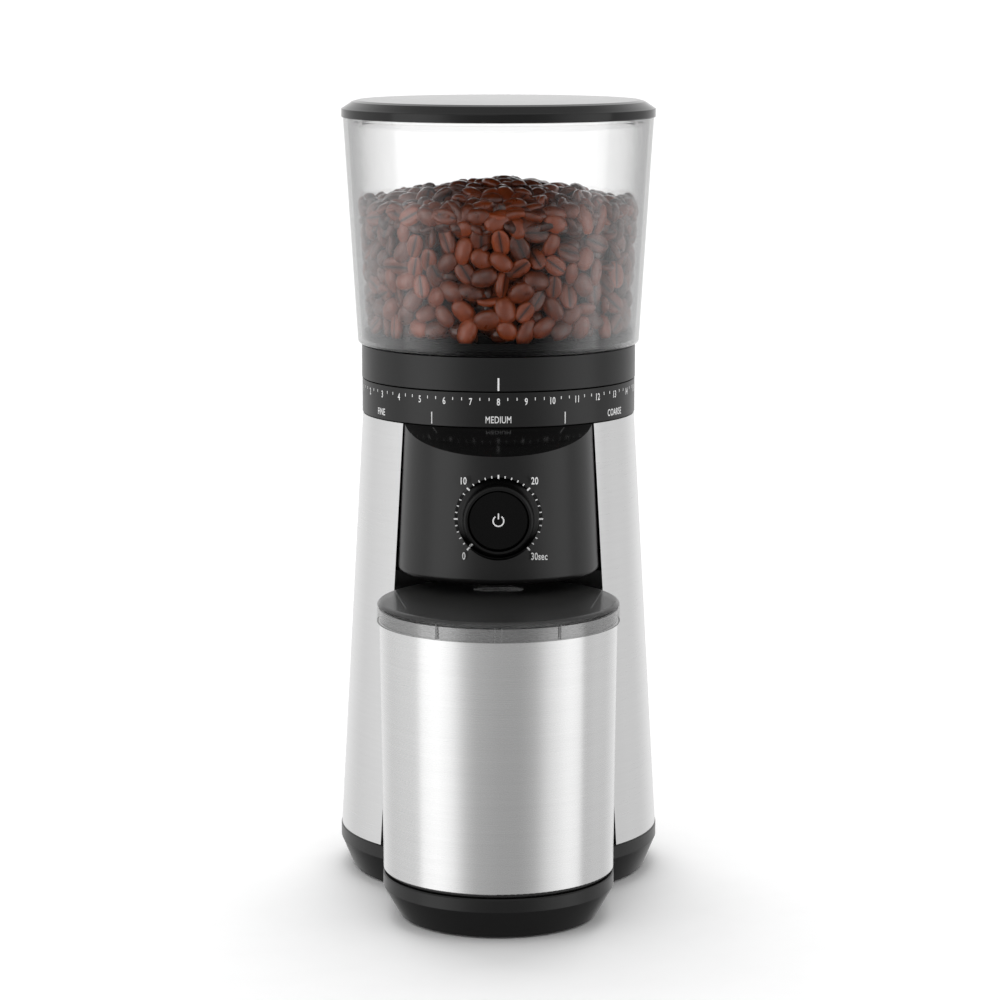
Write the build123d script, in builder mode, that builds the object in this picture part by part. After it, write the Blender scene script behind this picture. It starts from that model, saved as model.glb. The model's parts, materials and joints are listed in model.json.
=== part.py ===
"""A free-standing burr coffee grinder, modelled as the separate pieces it comes apart into.

Units are millimetres and +Z is up. The origin is the middle of the footprint on the worktop, and the
grinder's front, with its dial and grounds cup, faces -Y. Round parts turn about one of two upright axes:
the burr axis, set back at AXIS_Y, and the cup axis, forward at CUP_Y.
"""

from math import atan, atan2, cos, degrees, pi, radians, sin, sqrt, tan
import os

from build123d import *

# ---- driving dimensions ----------------------------------------------------------------------------
CUP_REACH = 104.0  # from the burr axis forward to the cup axis
BASE_R = 85.7  # widest radius of the round base
CUP_LID_R = 62.0
AXIS_Y = (CUP_REACH + CUP_LID_R - BASE_R) / 2  # centres the footprint on the origin
CUP_Y = AXIS_Y - CUP_REACH
BURR_AXIS = (0, AXIS_Y)
CUP_AXIS = (0, CUP_Y)
FAR = 200.0  # reach of a cutting block that has to pass everything

FOOT_H = 1.2  # rubber feet below the base
BAND_LOW, BASE_TOP = 16.0, 22.9  # upright band around the base, above its bevel
BODY_BEVEL, TONGUE_BEVEL = 6.2, 8.4  # how far the bevel draws the base in at the bottom
TONGUE_R = 59.4  # round front of the base, under the cup
BASE_WALL = 2.6
PLATE_INSET = BASE_WALL + 0.4

SKIRT_LOW, SKIRT_HIGH = 23.2, 247.6
SKIRT_LOW_R, SKIRT_HIGH_R = 85.3, 72.5
SKIRT_WALL = 0.9
DOOR_LOW, DOOR_HIGH = 62.4, 49.7  # half width of the skirt's front opening, bottom and top
FRAME_GAP, FRAME_WALL = 0.3, 2.2
FRAME_FRONT = -44.0  # the inner frame stops here, measured from the burr axis
LEDGE_LOW, LEDGE_HIGH = 149.6, 152.4  # ledge that carries the drive deck
CORD_Z, CORD_BORE_R, GLAND_R = 40.0, 3.7, 6.0

BAY_BACK = -40.0  # deepest point of the cup bay's wall, from the burr axis
BAY_SAG = 18.0  # how much that wall curves forward at its ends
BAY_WALL = 2.0
BAY_TOP = 169.6

DIAL_OUT = -45.5  # axis of the bulging dial housing, from the burr axis; it is also the housing's back
DIAL_LOW, DIAL_HIGH = 169.9, 247.8
DIAL_LOW_R, DIAL_HIGH_R = 53.6, 49.5
DIAL_WALL = 2.4
SHOULDER_SLOPE = 27.0  # degrees that the housing's roof falls forward from the scale ring
KNOB_Z = 204.5
SEAT_DEEP, SEAT_R = 4.8, 21.3  # flat seat sunk in the bulge, behind its foremost line
KNOB_R, KNOB_FLARE_R, KNOB_PROUD = 17.7, 20.9, 8.0
KNOB_HOLLOW = 9.0  # depth of the knob's hollow front, where the button sits
BUTTON_R, BUTTON_TRAVEL, BUTTON_THICK = 15.4, 1.5, 4.2
BOARD_BACK_OFF = 11.0  # from the knob's seat back to the dial's circuit board

SCALE_LOW, SCALE_HIGH, SCALE_R = 248.1, 266.2, 72.8
ADJUST_LOW, ADJUST_HIGH, ADJUST_R = 266.7, 284.3, 73.0
CLICK_R, CLICK_COUNT = 58.0, 96
HOPPER_LOW, HOPPER_HIGH = 284.8, 404.2
HOPPER_LOW_R, HOPPER_HIGH_R, HOPPER_WALL = 74.9, 82.3, 2.2
FLOOR_RIM = 291.0  # top of the funnel floor's rim
THROAT_R, THROAT_LOW, THROAT_HIGH = 21.0, 263.0, 270.4
PORT_R, PORT_HUB_R, PORT_HALF = 19.0, 6.0, 43.0  # quarter openings in the throat and the shutter
LID_TOP, LID_R = 414.0, 83.2

CUP_LOW, CUP_HIGH = 24.8, 160.4
CUP_LOW_R, CUP_HIGH_R, CUP_WALL = 59.2, 60.8, 0.8
CUP_LID_LOW, CUP_LID_TOP, CUP_LID_SKIN = 153.7, 164.0, 1.6
CHUTE_Y = -71.0  # middle of the chute's mouth, from the burr axis

CHAMBER_LOW, CHAMBER_R, CHAMBER_WALL = 196.4, 48.2, 3.7
SHAFT_R, SHAFT_FIT = 5.0, 0.06
PRESSURE_ANGLE = 20.0
FINE_MODULE, COARSE_MODULE = 1.0, 1.5
MOTOR_TEETH, IDLER_TEETH, IDLER_PINION_TEETH, OUTPUT_TEETH = 12, 54, 12, 44
FINE_LOW, FINE_HIGH = 161.0, 169.0  # heights of the first gear stage
COARSE_LOW, COARSE_HIGH = 174.5, 186.0  # and of the second
DECK_LOW, DECK_THICK, DECK_R, DECK_FRONT = 152.5, 4.0, 73.2, -30.0
TRAY_TOP, COVER_TOP = 171.5, 190.6
MOTOR_R, MOTOR_LOW, MOTOR_HIGH = 22.0, 82.0, 150.4

DECK_SCREWS = [(69.5 * cos(radians(a)), AXIS_Y + 69.5 * sin(radians(a))) for a in (-15, 70, 110, 195)]

SKIRT_SLOPE = (SKIRT_LOW_R - SKIRT_HIGH_R) / (SKIRT_HIGH - SKIRT_LOW)
DOOR_SLOPE = (DOOR_LOW - DOOR_HIGH) / (SKIRT_HIGH - SKIRT_LOW)

os.makedirs("parts", exist_ok=True)


# ---- shared shapes ---------------------------------------------------------------------------------
def save(made, label):
    """Labels one finished piece and writes it as its own STEP file."""
    made.label = label
    export_step(made, f"parts/{label}.step")


def from_axis(x, y):
    """A point in plan that is given from the burr axis."""
    return (x, AXIS_Y + y)


def spin(*outline, about=AXIS_Y, mode=Mode.ADD):
    """Turns a closed outline of (radius, height) points about an upright axis that stands on X = 0."""
    with BuildSketch(Plane.XZ.offset(-about)) as section:
        with BuildLine():
            Polyline(*outline, close=True)
        make_face()
    revolve(section.sketch, axis=Axis((0, about, 0), (0, 0, 1)), mode=mode)


def drum(radius, low, high, *at, bore=0.0, mode=Mode.ADD):
    """Adds or cuts an upright cylinder, or several alike, with an optional bore."""
    with BuildSketch(Plane.XY.offset(low)) as disc:
        with Locations(*(at or [BURR_AXIS])):
            Circle(radius)
            if bore:
                Circle(bore, mode=Mode.SUBTRACT)
    extrude(disc.sketch, amount=high - low, mode=mode)


def block(size_x, size_y, low, high, at, mode=Mode.ADD):
    """Adds or cuts an upright block centred at a point."""
    with BuildSketch(Plane.XY.offset(low)) as plan:
        with Locations(at):
            Rectangle(size_x, size_y)
    extrude(plan.sketch, amount=high - low, mode=mode)


def facing(y):
    """The upright plane at a Y, whose normal points to the front."""
    return Plane.XZ.offset(-y)


def peg(radius, front, back, x=0.0, z=KNOB_Z, bore=0.0, mode=Mode.ADD):
    """Adds or cuts a cylinder that lies front to back, by default on the knob's axis."""
    with BuildSketch(facing(back)) as disc:
        with Locations((x, z)):
            Circle(radius)
            if bore:
                Circle(bore, mode=Mode.SUBTRACT)
    extrude(disc.sketch, amount=back - front, mode=mode)


def round_edge(part, radius, size, keep=lambda edge: True):
    """Rounds the circular edges of one radius."""
    edges = part.edges().filter_by(GeomType.CIRCLE)
    fillet(edges.filter_by(lambda edge: abs(edge.radius - radius) < 0.02 and keep(edge)), size)


def skirt_radius(z):
    """Outer radius of the steel skirt at a height."""
    return SKIRT_LOW_R - (z - SKIRT_LOW) * SKIRT_SLOPE


def cone_shell(low, high, inset, wall):
    """Adds a thin shell that follows the skirt, some way inside its outer face."""
    spin((skirt_radius(low) - inset - wall, low), (skirt_radius(low) - inset, low),
         (skirt_radius(high) - inset, high), (skirt_radius(high) - inset - wall, high))


def base_plan(inset, body_bevel=0.0, tongue_bevel=0.0):
    """Draws the base in plan: a round body with a round-ended tongue forward under the cup."""
    with Locations(BURR_AXIS):
        Circle(BASE_R - inset - body_bevel)
    with Locations(CUP_AXIS):
        Circle(TONGUE_R - inset - tongue_bevel)
    with Locations((0, CUP_Y + CUP_REACH / 2)):
        Rectangle(2 * (TONGUE_R - inset - tongue_bevel), CUP_REACH)


# ---- base ------------------------------------------------------------------------------------------
BOARD_POSTS = [from_axis(x, y) for x in (-36, 36) for y in (-6, 48)]
PLATE_SCREWS = [from_axis(x, y) for x in (-57, 57) for y in (-14, 36)] + [(x, CUP_Y + 8) for x in (-34, 34)]
FOOT_SPOTS = [from_axis(x, y) for x in (-44, 44) for y in (48, -30)] + [(0, CUP_Y - 32)]

with BuildPart() as base_shell:
    with BuildSketch(Plane.XY.offset(BAND_LOW)):
        base_plan(0.0)
    extrude(amount=BASE_TOP - BAND_LOW)
    with BuildSketch(Plane.XY.offset(FOOT_H)):
        base_plan(0.0, BODY_BEVEL, TONGUE_BEVEL)
    with BuildSketch(Plane.XY.offset(BAND_LOW)):
        base_plan(0.0)
    loft(ruled=True)
    chamfer(base_shell.faces().sort_by(Axis.Z)[-1].edges(), 0.6)
    with BuildSketch(Plane.XY.offset(FOOT_H)):
        base_plan(BASE_WALL, BODY_BEVEL, TONGUE_BEVEL)
    extrude(amount=BASE_TOP - BASE_WALL - FOOT_H, mode=Mode.SUBTRACT)
    drum(3.2, BASE_TOP, BASE_TOP + 4.0, *BOARD_POSTS, bore=1.1)
    drum(4.0, FOOT_H + 2.1, BASE_TOP - 1.0, *PLATE_SCREWS, bore=1.3)
save(base_shell.part, "base_shell")

with BuildPart() as base_plate:
    with BuildSketch(Plane.XY.offset(FOOT_H)):
        base_plan(PLATE_INSET, BODY_BEVEL, TONGUE_BEVEL)
    extrude(amount=2.0)
    drum(1.9, FOOT_H, FOOT_H + 2.0, *PLATE_SCREWS, mode=Mode.SUBTRACT)
    drum(3.6, FOOT_H, FOOT_H + 1.0, *PLATE_SCREWS, mode=Mode.SUBTRACT)
    with BuildSketch(Plane.XY.offset(FOOT_H)):  # cooling slots under the motor
        with Locations(from_axis(0, 22)):
            with GridLocations(1, 7.0, 1, 7):
                SlotOverall(50.0, 3.0)
    extrude(amount=2.0, mode=Mode.SUBTRACT)
save(base_plate.part, "base_plate")

with BuildPart() as plate_screws:
    drum(3.2, FOOT_H, FOOT_H + 0.9, *PLATE_SCREWS)
    drum(1.25, FOOT_H + 0.9, 14.0, *PLATE_SCREWS)
    for size_x, size_y in ((3.6, 0.8), (0.8, 3.6)):  # cross recess
        for spot in PLATE_SCREWS:
            block(size_x, size_y, FOOT_H, FOOT_H + 0.6, spot, Mode.SUBTRACT)
save(plate_screws.part, "plate_screws")

with BuildPart() as rubber_feet:
    drum(8.0, 0.0, FOOT_H, *FOOT_SPOTS)
    fillet(rubber_feet.edges().filter_by(GeomType.CIRCLE).group_by(Axis.Z)[0], 0.5)
save(rubber_feet.part, "rubber_feet")

# ---- steel skirt, inner frame, cord gland and cup bay ----------------------------------------------
with BuildPart() as steel_skirt:
    cone_shell(SKIRT_LOW, SKIRT_HIGH, 0.0, SKIRT_WALL)
    with BuildSketch(facing(AXIS_Y)):  # tapering front opening
        with BuildLine():
            Polyline((-DOOR_LOW - DOOR_SLOPE, SKIRT_LOW - 1), (DOOR_LOW + DOOR_SLOPE, SKIRT_LOW - 1),
                     (DOOR_HIGH - DOOR_SLOPE, SKIRT_HIGH + 1), (DOOR_SLOPE - DOOR_HIGH, SKIRT_HIGH + 1),
                     close=True)
        make_face()
    extrude(amount=FAR, mode=Mode.SUBTRACT)
    peg(GLAND_R + 0.1, AXIS_Y, AXIS_Y + FAR, z=CORD_Z, mode=Mode.SUBTRACT)
save(steel_skirt.part, "steel_skirt")

with BuildPart() as inner_frame:
    cone_shell(BASE_TOP + 0.2, SKIRT_HIGH - 0.4, SKIRT_WALL + FRAME_GAP, FRAME_WALL)
    for low, high, bore in ((LEDGE_LOW, LEDGE_HIGH, 66.0), (244.4, 247.4, 52.6)):
        rim = SKIRT_WALL + FRAME_GAP + FRAME_WALL / 2
        spin((bore, low), (skirt_radius(low) - rim, low), (skirt_radius(high) - rim, high), (bore, high))
    block(FAR, FAR, 0, SKIRT_HIGH, from_axis(0, FRAME_FRONT - FAR / 2), Mode.SUBTRACT)
    drum(1.25, LEDGE_LOW, LEDGE_HIGH, *DECK_SCREWS, mode=Mode.SUBTRACT)
    peg(GLAND_R + 0.1, AXIS_Y, AXIS_Y + FAR, z=CORD_Z, mode=Mode.SUBTRACT)
save(inner_frame.part, "inner_frame")

gland_face = AXIS_Y + skirt_radius(CORD_Z)  # Y of the skirt's outer face at the gland
with BuildPart() as cord_gland:
    peg(GLAND_R, gland_face - 6.5, gland_face + 0.5, z=CORD_Z)
    peg(GLAND_R + 1.8, gland_face + 0.5, gland_face + 1.35, z=CORD_Z)
    fillet(cord_gland.faces().sort_by(Axis.Y)[-1].edges(), 0.4)
    peg(CORD_BORE_R, gland_face - FAR, gland_face + FAR, z=CORD_Z, mode=Mode.SUBTRACT)
save(cord_gland.part, "cord_gland")

bay_half = DOOR_LOW + 4.0
bay_round = (bay_half**2 + BAY_SAG**2) / (2 * BAY_SAG)  # radius of the bay's curved wall
bay_centre = from_axis(0, BAY_BACK - bay_round)

with BuildPart() as bay_wall:
    drum(bay_round + BAY_WALL, BASE_TOP + 0.1, BAY_TOP, bay_centre, bore=bay_round)
    block(3 * FAR, 2 * FAR, 0, FAR, from_axis(0, BAY_BACK - BAY_SAG - 4 - FAR), Mode.SUBTRACT)
    inside = SKIRT_WALL + FRAME_GAP
    spin((0, 0), (skirt_radius(0) - inside, 0), (skirt_radius(FAR) - inside, FAR), (0, FAR),
         mode=Mode.INTERSECT)
save(bay_wall.part, "bay_wall")


# ---- dial housing, knob, button and the dial's electronics -----------------------------------------
DIAL_Y = AXIS_Y + DIAL_OUT


def dial_radius(z):
    """Outer radius of the dial housing's bulge at a height."""
    return DIAL_LOW_R - (z - DIAL_LOW) * (DIAL_LOW_R - DIAL_HIGH_R) / (DIAL_HIGH - DIAL_LOW)


def cut_above_roof(height):
    """Cuts all that lies above the sloping roof, which leaves the scale ring's edge at a height."""
    reach = 60.0
    drop = reach * tan(radians(SHOULDER_SLOPE))
    spin((0, height), (SCALE_R, height), (SCALE_R + reach, height - drop), (SCALE_R + reach, 300), (0, 300),
         mode=Mode.SUBTRACT)


def cut_behind_dial():
    """Keeps only the front half of a dial housing shape."""
    block(FAR, FAR, 0, 300, (0, DIAL_Y + FAR / 2), Mode.SUBTRACT)


dial_face = DIAL_Y - dial_radius(KNOB_Z)  # foremost Y of the bulge, at the knob's height
seat_face = dial_face + SEAT_DEEP
knob_front = dial_face - KNOB_PROUD
knob_back = seat_face - 0.3
board_front = seat_face + BOARD_BACK_OFF

with BuildPart() as dial_cavity:
    cavity_low = DIAL_LOW + DIAL_WALL
    spin((0, cavity_low), (dial_radius(cavity_low) - DIAL_WALL, cavity_low),
         (DIAL_HIGH_R - DIAL_WALL, DIAL_HIGH), (0, DIAL_HIGH), about=DIAL_Y)
    cut_above_roof(DIAL_HIGH - DIAL_WALL)

with BuildPart() as dial_housing:
    spin((0, DIAL_LOW), (DIAL_LOW_R, DIAL_LOW), (DIAL_HIGH_R, DIAL_HIGH), (0, DIAL_HIGH), about=DIAL_Y)
    round_edge(dial_housing, DIAL_LOW_R, 3.2)
    cut_above_roof(DIAL_HIGH)
    add(dial_cavity.part, mode=Mode.SUBTRACT)
    cut_behind_dial()
    drum(52.6, 240.0, DIAL_HIGH, mode=Mode.SUBTRACT)
    peg(SEAT_R + 1.2, seat_face - 1.0, seat_face + 2.4)
    peg(SEAT_R, dial_face - 5.0, seat_face, mode=Mode.SUBTRACT)
    peg(4.4, seat_face - 1.0, seat_face + 5.0, mode=Mode.SUBTRACT)
    block(25.8, 23.0, DIAL_LOW, DIAL_LOW + 4.0, from_axis(0, CHUTE_Y + 1.2), Mode.SUBTRACT)
save(dial_housing.part, "dial_housing")

with BuildPart() as timer_knob:
    with BuildSketch(Plane.XY.offset(KNOB_Z)):  # half section, turned about the knob's axis
        with BuildLine():
            Polyline((0, knob_back), (KNOB_FLARE_R, knob_back), (KNOB_FLARE_R, knob_back - 0.8))
            ThreePointArc((KNOB_FLARE_R, knob_back - 0.8), (KNOB_R + 1.0, knob_back - 3.2),
                          (KNOB_R, knob_back - 6.8))
            Polyline((KNOB_R, knob_back - 6.8), (KNOB_R, knob_front + 0.9), (KNOB_R - 0.9, knob_front),
                     (0, knob_front), (0, knob_back))
        make_face()
    revolve(axis=Axis((0, 0, KNOB_Z), (0, 1, 0)))
    peg(BUTTON_R + 0.35, knob_front, knob_front + KNOB_HOLLOW, mode=Mode.SUBTRACT)
    peg(3.0, knob_front, knob_back, mode=Mode.SUBTRACT)
save(timer_knob.part, "timer_knob")

with BuildPart() as timer_shaft:
    peg(3.0, knob_front + KNOB_HOLLOW, board_front - 0.3, bore=2.2)
save(timer_shaft.part, "timer_shaft")

button_front = knob_front + 1.4
with BuildPart() as start_button:
    peg(BUTTON_R, button_front, button_front + BUTTON_THICK)
    fillet(start_button.faces().sort_by(Axis.Y)[0].edges(), 1.0)
    peg(1.7, button_front + BUTTON_THICK, board_front + 4.0)
save(start_button.part, "start_button")

with BuildPart() as timer_encoder:
    with BuildSketch(facing(board_front)):
        with Locations((0, KNOB_Z)):
            Rectangle(14.0, 14.0)
    extrude(amount=5.6)
    peg(4.1, seat_face + 0.5, board_front - 5.6)
    peg(3.08, seat_face, board_front, mode=Mode.SUBTRACT)
save(timer_encoder.part, "timer_encoder")

with BuildPart() as timer_board:
    with BuildSketch(facing(board_front + 1.6)):
        with Locations((0, KNOB_Z)):
            RectangleRounded(46.0, 34.0, 2.0)
    extrude(amount=1.6)
    peg(2.1, board_front, board_front + 1.6, mode=Mode.SUBTRACT)
save(timer_board.part, "timer_board")

with BuildPart() as start_switch:
    with BuildSketch(facing(board_front + 7.6)):
        with Locations((0, KNOB_Z)):
            Rectangle(7.0, 7.0)
    extrude(amount=6.0)
    peg(2.1, board_front, board_front + 4.3 + BUTTON_TRAVEL, mode=Mode.SUBTRACT)
save(start_switch.part, "start_switch")

# ---- scale ring, adjusting ring and click spring ---------------------------------------------------
with BuildPart() as scale_ring:
    spin((53.2, SCALE_LOW), (SCALE_R, SCALE_LOW), (SCALE_R, SCALE_HIGH), (63.0, SCALE_HIGH),
         (63.0, SCALE_LOW + 2.2), (53.2, SCALE_LOW + 2.2))
    round_edge(scale_ring, SCALE_R, 0.35)
save(scale_ring.part, "scale_ring")

with BuildPart() as adjusting_ring:
    spin((ADJUST_R, ADJUST_HIGH), (ADJUST_R, ADJUST_LOW), (54.0, ADJUST_LOW), (54.0, 252.6), (51.2, 252.6),
         (51.2, 257.4), (47.0, 257.4), (47.0, 259.8), (51.2, 259.8), (51.2, 270.2), (66.2, 270.2),
         (66.2, ADJUST_HIGH))
    round_edge(adjusting_ring, ADJUST_R, 0.35)
    with BuildSketch(Plane.XY.offset(ADJUST_LOW)):  # click-stop notches under the ring
        with Locations(BURR_AXIS):
            with PolarLocations(CLICK_R, CLICK_COUNT, start_angle=90):
                Circle(0.8)
    extrude(amount=1.0, mode=Mode.SUBTRACT)
save(adjusting_ring.part, "adjusting_ring")

with BuildPart() as click_spring:  # bent leaf whose bump rides in the notches
    block(10.0, 5.0, SCALE_LOW + 2.2, SCALE_LOW + 16.2, from_axis(0, CLICK_R))
    block(8.6, 5.0, SCALE_LOW + 3.0, SCALE_LOW + 15.4, from_axis(0, CLICK_R), Mode.SUBTRACT)
    drum(0.6, SCALE_LOW + 16.2, ADJUST_LOW + 0.6, from_axis(0, CLICK_R))
save(click_spring.part, "click_spring")


# ---- hopper, shutter and hopper lid ----------------------------------------------------------------
def hopper_radius(z):
    """Outer radius of the tapering hopper at a height."""
    return HOPPER_LOW_R + (z - HOPPER_LOW) * (HOPPER_HIGH_R - HOPPER_LOW_R) / (HOPPER_HIGH - HOPPER_LOW)


def quarter_ports(low, high):
    """Cuts two opposite openings of nearly a quarter turn each, between the hub and the rim."""
    with BuildSketch(Plane.XY.offset(low)) as ports:
        with Locations(BURR_AXIS):
            Circle(PORT_R)
            Circle(PORT_HUB_R, mode=Mode.SUBTRACT)
            for middle in (90, 270):
                ends = [radians(middle + side * (90 - PORT_HALF)) for side in (-1, 1)]
                Polygon((0, 0), *[(60 * cos(a), 60 * sin(a)) for a in ends], align=None, mode=Mode.SUBTRACT)
    extrude(ports.sketch, amount=high - low, mode=Mode.SUBTRACT)


with BuildPart() as hopper:
    spin((65.8, HOPPER_LOW), (HOPPER_LOW_R, HOPPER_LOW), (HOPPER_HIGH_R, HOPPER_HIGH),
         (HOPPER_HIGH_R - HOPPER_WALL, HOPPER_HIGH), (hopper_radius(287.4) - HOPPER_WALL, 287.4),
         (65.8, 287.4))
    round_edge(hopper, HOPPER_LOW_R, 2.0)
save(hopper.part, "hopper")

with BuildPart() as hopper_floor:
    spin((72.0, 287.5), (72.0, FLOOR_RIM), (69.5, FLOOR_RIM), (THROAT_R, THROAT_HIGH), (THROAT_R, 265.4),
         (0, 265.4), (0, THROAT_LOW), (23.6, THROAT_LOW), (23.6, 269.4), (62.6, 285.4), (62.6, 271.2),
         (65.4, 271.2), (65.4, 287.5))
    quarter_ports(THROAT_LOW, 265.4)
    drum(2.8, THROAT_LOW, 265.4, mode=Mode.SUBTRACT)
save(hopper_floor.part, "hopper_floor")

with BuildPart() as hopper_shutter:
    drum(THROAT_R + 0.6, THROAT_LOW - 2.4, THROAT_LOW - 0.3)
    quarter_ports(THROAT_LOW - 2.4, THROAT_LOW - 0.3)
    drum(2.5, THROAT_LOW - 0.3, 265.7)
save(hopper_shutter.part, "hopper_shutter")

with BuildPart() as shutter_knob:
    spin((0, 265.7), (7.0, 265.7), (7.0, 268.0), (3.6, 270.0), (3.6, 276.0), (0, 276.0))
    block(3.0, 26.0, 266.4, 276.0, BURR_AXIS)
    fillet(shutter_knob.faces().sort_by(Axis.Z)[-1].edges(), 0.8)
save(shutter_knob.part, "shutter_knob")

with BuildPart() as hopper_lid:
    spin((0, 411.6), (75.0, 410.4), (78.4, 406.8), (78.4, HOPPER_HIGH + 0.2), (LID_R, HOPPER_HIGH + 0.2),
         (LID_R, 408.8), (LID_R - 1.0, 409.4), (LID_R - 5.6, 412.5), (LID_R - 8.4, 413.3), (40.0, 413.8),
         (0, LID_TOP))
    round_edge(hopper_lid, LID_R, 0.4)
save(hopper_lid.part, "hopper_lid")

seat_r = hopper_radius(401.5) - HOPPER_WALL  # inner radius of the hopper where the gasket sits
with BuildPart() as lid_plug:
    spin((72.0, 399.6), (seat_r - 2.4, 399.6), (seat_r - 2.4, 400.4), (seat_r - 3.4, 400.4),
         (seat_r - 3.4, 402.6), (seat_r - 2.4, 402.6), (seat_r - 2.4, 404.4), (74.4, 409.8), (0, 411.0),
         (0, 409.4), (72.0, 408.2))
save(lid_plug.part, "lid_plug")

with BuildPart() as lid_gasket:
    spin((seat_r - 3.4, 400.4), (seat_r - 1.2, 400.4), (seat_r - 0.4, 401.5), (seat_r - 1.2, 402.6),
         (seat_r - 3.4, 402.6))
save(lid_gasket.part, "lid_gasket")

# ---- grounds cup -----------------------------------------------------------------------------------
with BuildPart() as cup_foot:
    spin((0, BASE_TOP + 0.1), (57.0, BASE_TOP + 0.1), (57.8, BASE_TOP + 0.9), (57.8, CUP_LOW), (0, CUP_LOW),
         about=CUP_Y)
save(cup_foot.part, "cup_foot")

with BuildPart() as cup_shell:
    spin((0, CUP_LOW), (CUP_LOW_R, CUP_LOW), (CUP_HIGH_R, CUP_HIGH), (CUP_HIGH_R - CUP_WALL, CUP_HIGH),
         (CUP_LOW_R - CUP_WALL, CUP_LOW + CUP_WALL), (0, CUP_LOW + CUP_WALL), about=CUP_Y)
    round_edge(cup_shell, CUP_LOW_R, 0.7)
save(cup_shell.part, "cup_shell")

lid_inner_r = CUP_HIGH_R - CUP_WALL - 0.5
with BuildPart() as cup_lid:
    spin((0, CUP_LID_TOP), (CUP_LID_R, CUP_LID_TOP), (CUP_LID_R, CUP_LID_LOW), (CUP_LID_R - 0.9, CUP_LID_LOW),
         (CUP_LID_R - 0.9, CUP_HIGH + 0.2), (lid_inner_r, CUP_HIGH + 0.2), (lid_inner_r, CUP_HIGH - 5.0),
         (lid_inner_r - 1.5, CUP_HIGH - 5.0), (lid_inner_r - 1.5, CUP_LID_TOP - CUP_LID_SKIN),
         (0, CUP_LID_TOP - CUP_LID_SKIN), about=CUP_Y)
    round_edge(cup_lid, CUP_LID_R, 2.8, lambda edge: edge.center().Z > CUP_LID_TOP - 1)
    with BuildSketch(Plane.XY.offset(CUP_LID_TOP - CUP_LID_SKIN)):  # where the grounds fall in
        with Locations(from_axis(0, CHUTE_Y)):
            RectangleRounded(26.0, 20.0, 6.0)
    extrude(amount=CUP_LID_SKIN, mode=Mode.SUBTRACT)
save(cup_lid.part, "cup_lid")

# ---- grinding chamber, chute and burrs -------------------------------------------------------------
chamber_floor = CHAMBER_LOW + 3.6
with BuildPart() as grind_chamber:
    bore = CHAMBER_R - CHAMBER_WALL
    spin((10.6, CHAMBER_LOW), (CHAMBER_R, CHAMBER_LOW), (CHAMBER_R, 244.2), (52.0, 244.2), (52.0, 247.2),
         (49.8, 250.0), (bore, 250.0), (bore, chamber_floor), (10.6, chamber_floor))
    block(22.0, 30.0, chamber_floor, chamber_floor + 12.0, from_axis(0, -48.0), Mode.SUBTRACT)
save(grind_chamber.part, "grind_chamber")


def chute_body(grow):
    """Lofts the chute's passage, from the chamber's port to its mouth over the cup, grown all round."""
    with BuildSketch(facing(AXIS_Y - CHAMBER_R - 0.4)) as port:
        with Locations((0, chamber_floor + 6.0)):
            Rectangle(22.0 + 2 * grow, 12.0 + 2 * grow)
    with BuildSketch(Plane((0, AXIS_Y + CHUTE_Y, DIAL_LOW), x_dir=(1, 0, 0), z_dir=(0, 0, -1))) as mouth:
        Rectangle(20.0 + 2 * grow, 16.0 + 2 * grow)
    loft([port.sketch, mouth.sketch], ruled=True)


with BuildPart() as chute_passage:
    chute_body(0.0)

with BuildPart() as grounds_chute:
    chute_body(1.6)
    add(chute_passage.part, mode=Mode.SUBTRACT)
save(grounds_chute.part, "grounds_chute")

with BuildPart() as burr_carrier:
    spin((43.9, 236.0), (43.9, 252.8), (50.4, 252.8), (50.4, 256.0), (29.0, 256.0), (23.5, 249.0),
         (23.5, 232.4), (29.0, 232.4), (29.0, 218.0), (33.0, 218.0), (33.0, 232.0))
    with BuildSketch(Plane.XY.offset(254.0)):  # finger slots, to lift the ring burr out
        with Locations(BURR_AXIS):
            with PolarLocations(40.0, 2):
                Rectangle(8.0, 20.0)
    extrude(amount=2.0, mode=Mode.SUBTRACT)
save(burr_carrier.part, "burr_carrier")

with BuildPart() as ring_burr:
    spin((20.8, 213.0), (29.0, 213.0), (29.0, 232.2), (23.4, 232.2))
    with BuildSketch(Plane.XY.offset(213.0)):  # cutting grooves around the bore
        with Locations(BURR_AXIS):
            with PolarLocations(21.6, 24):
                Rectangle(2.4, 1.5, rotation=24)
    extrude(amount=19.2, mode=Mode.SUBTRACT)
save(ring_burr.part, "ring_burr")

with BuildPart() as carrier_spring:  # wave spring that lifts the carrier against the adjusting ring
    for low in (250.0, 251.1, 252.2):
        drum(48.6, low, low + 0.4, bore=45.2)
    for low, start in ((250.4, 0), (251.5, 30)):
        with BuildSketch(Plane.XY.offset(low)):
            with Locations(BURR_AXIS):
                with PolarLocations(46.9, 6, start_angle=start):
                    Rectangle(2.6, 6.0)
        extrude(amount=0.7)
save(carrier_spring.part, "carrier_spring")

with BuildPart() as cone_burr:
    spin((SHAFT_R, 210.0), (20.0, 210.0), (20.0, 214.0), (14.6, 231.0), (9.0, 238.0), (SHAFT_R, 238.0))
    with BuildSketch(Plane.XY.offset(210.0)):  # fine grooves at the widest part
        with Locations(BURR_AXIS):
            with PolarLocations(20.0, 30):
                Rectangle(1.8, 1.5, rotation=20)
    extrude(amount=7.0, mode=Mode.SUBTRACT)
    with BuildSketch(Plane.XY.offset(217.0)):  # deep flutes that draw the beans down
        with Locations(BURR_AXIS):
            with PolarLocations(16.6, 6):
                Rectangle(9.0, 3.6, rotation=28)
    extrude(amount=21.0, mode=Mode.SUBTRACT)
save(cone_burr.part, "cone_burr")

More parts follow.
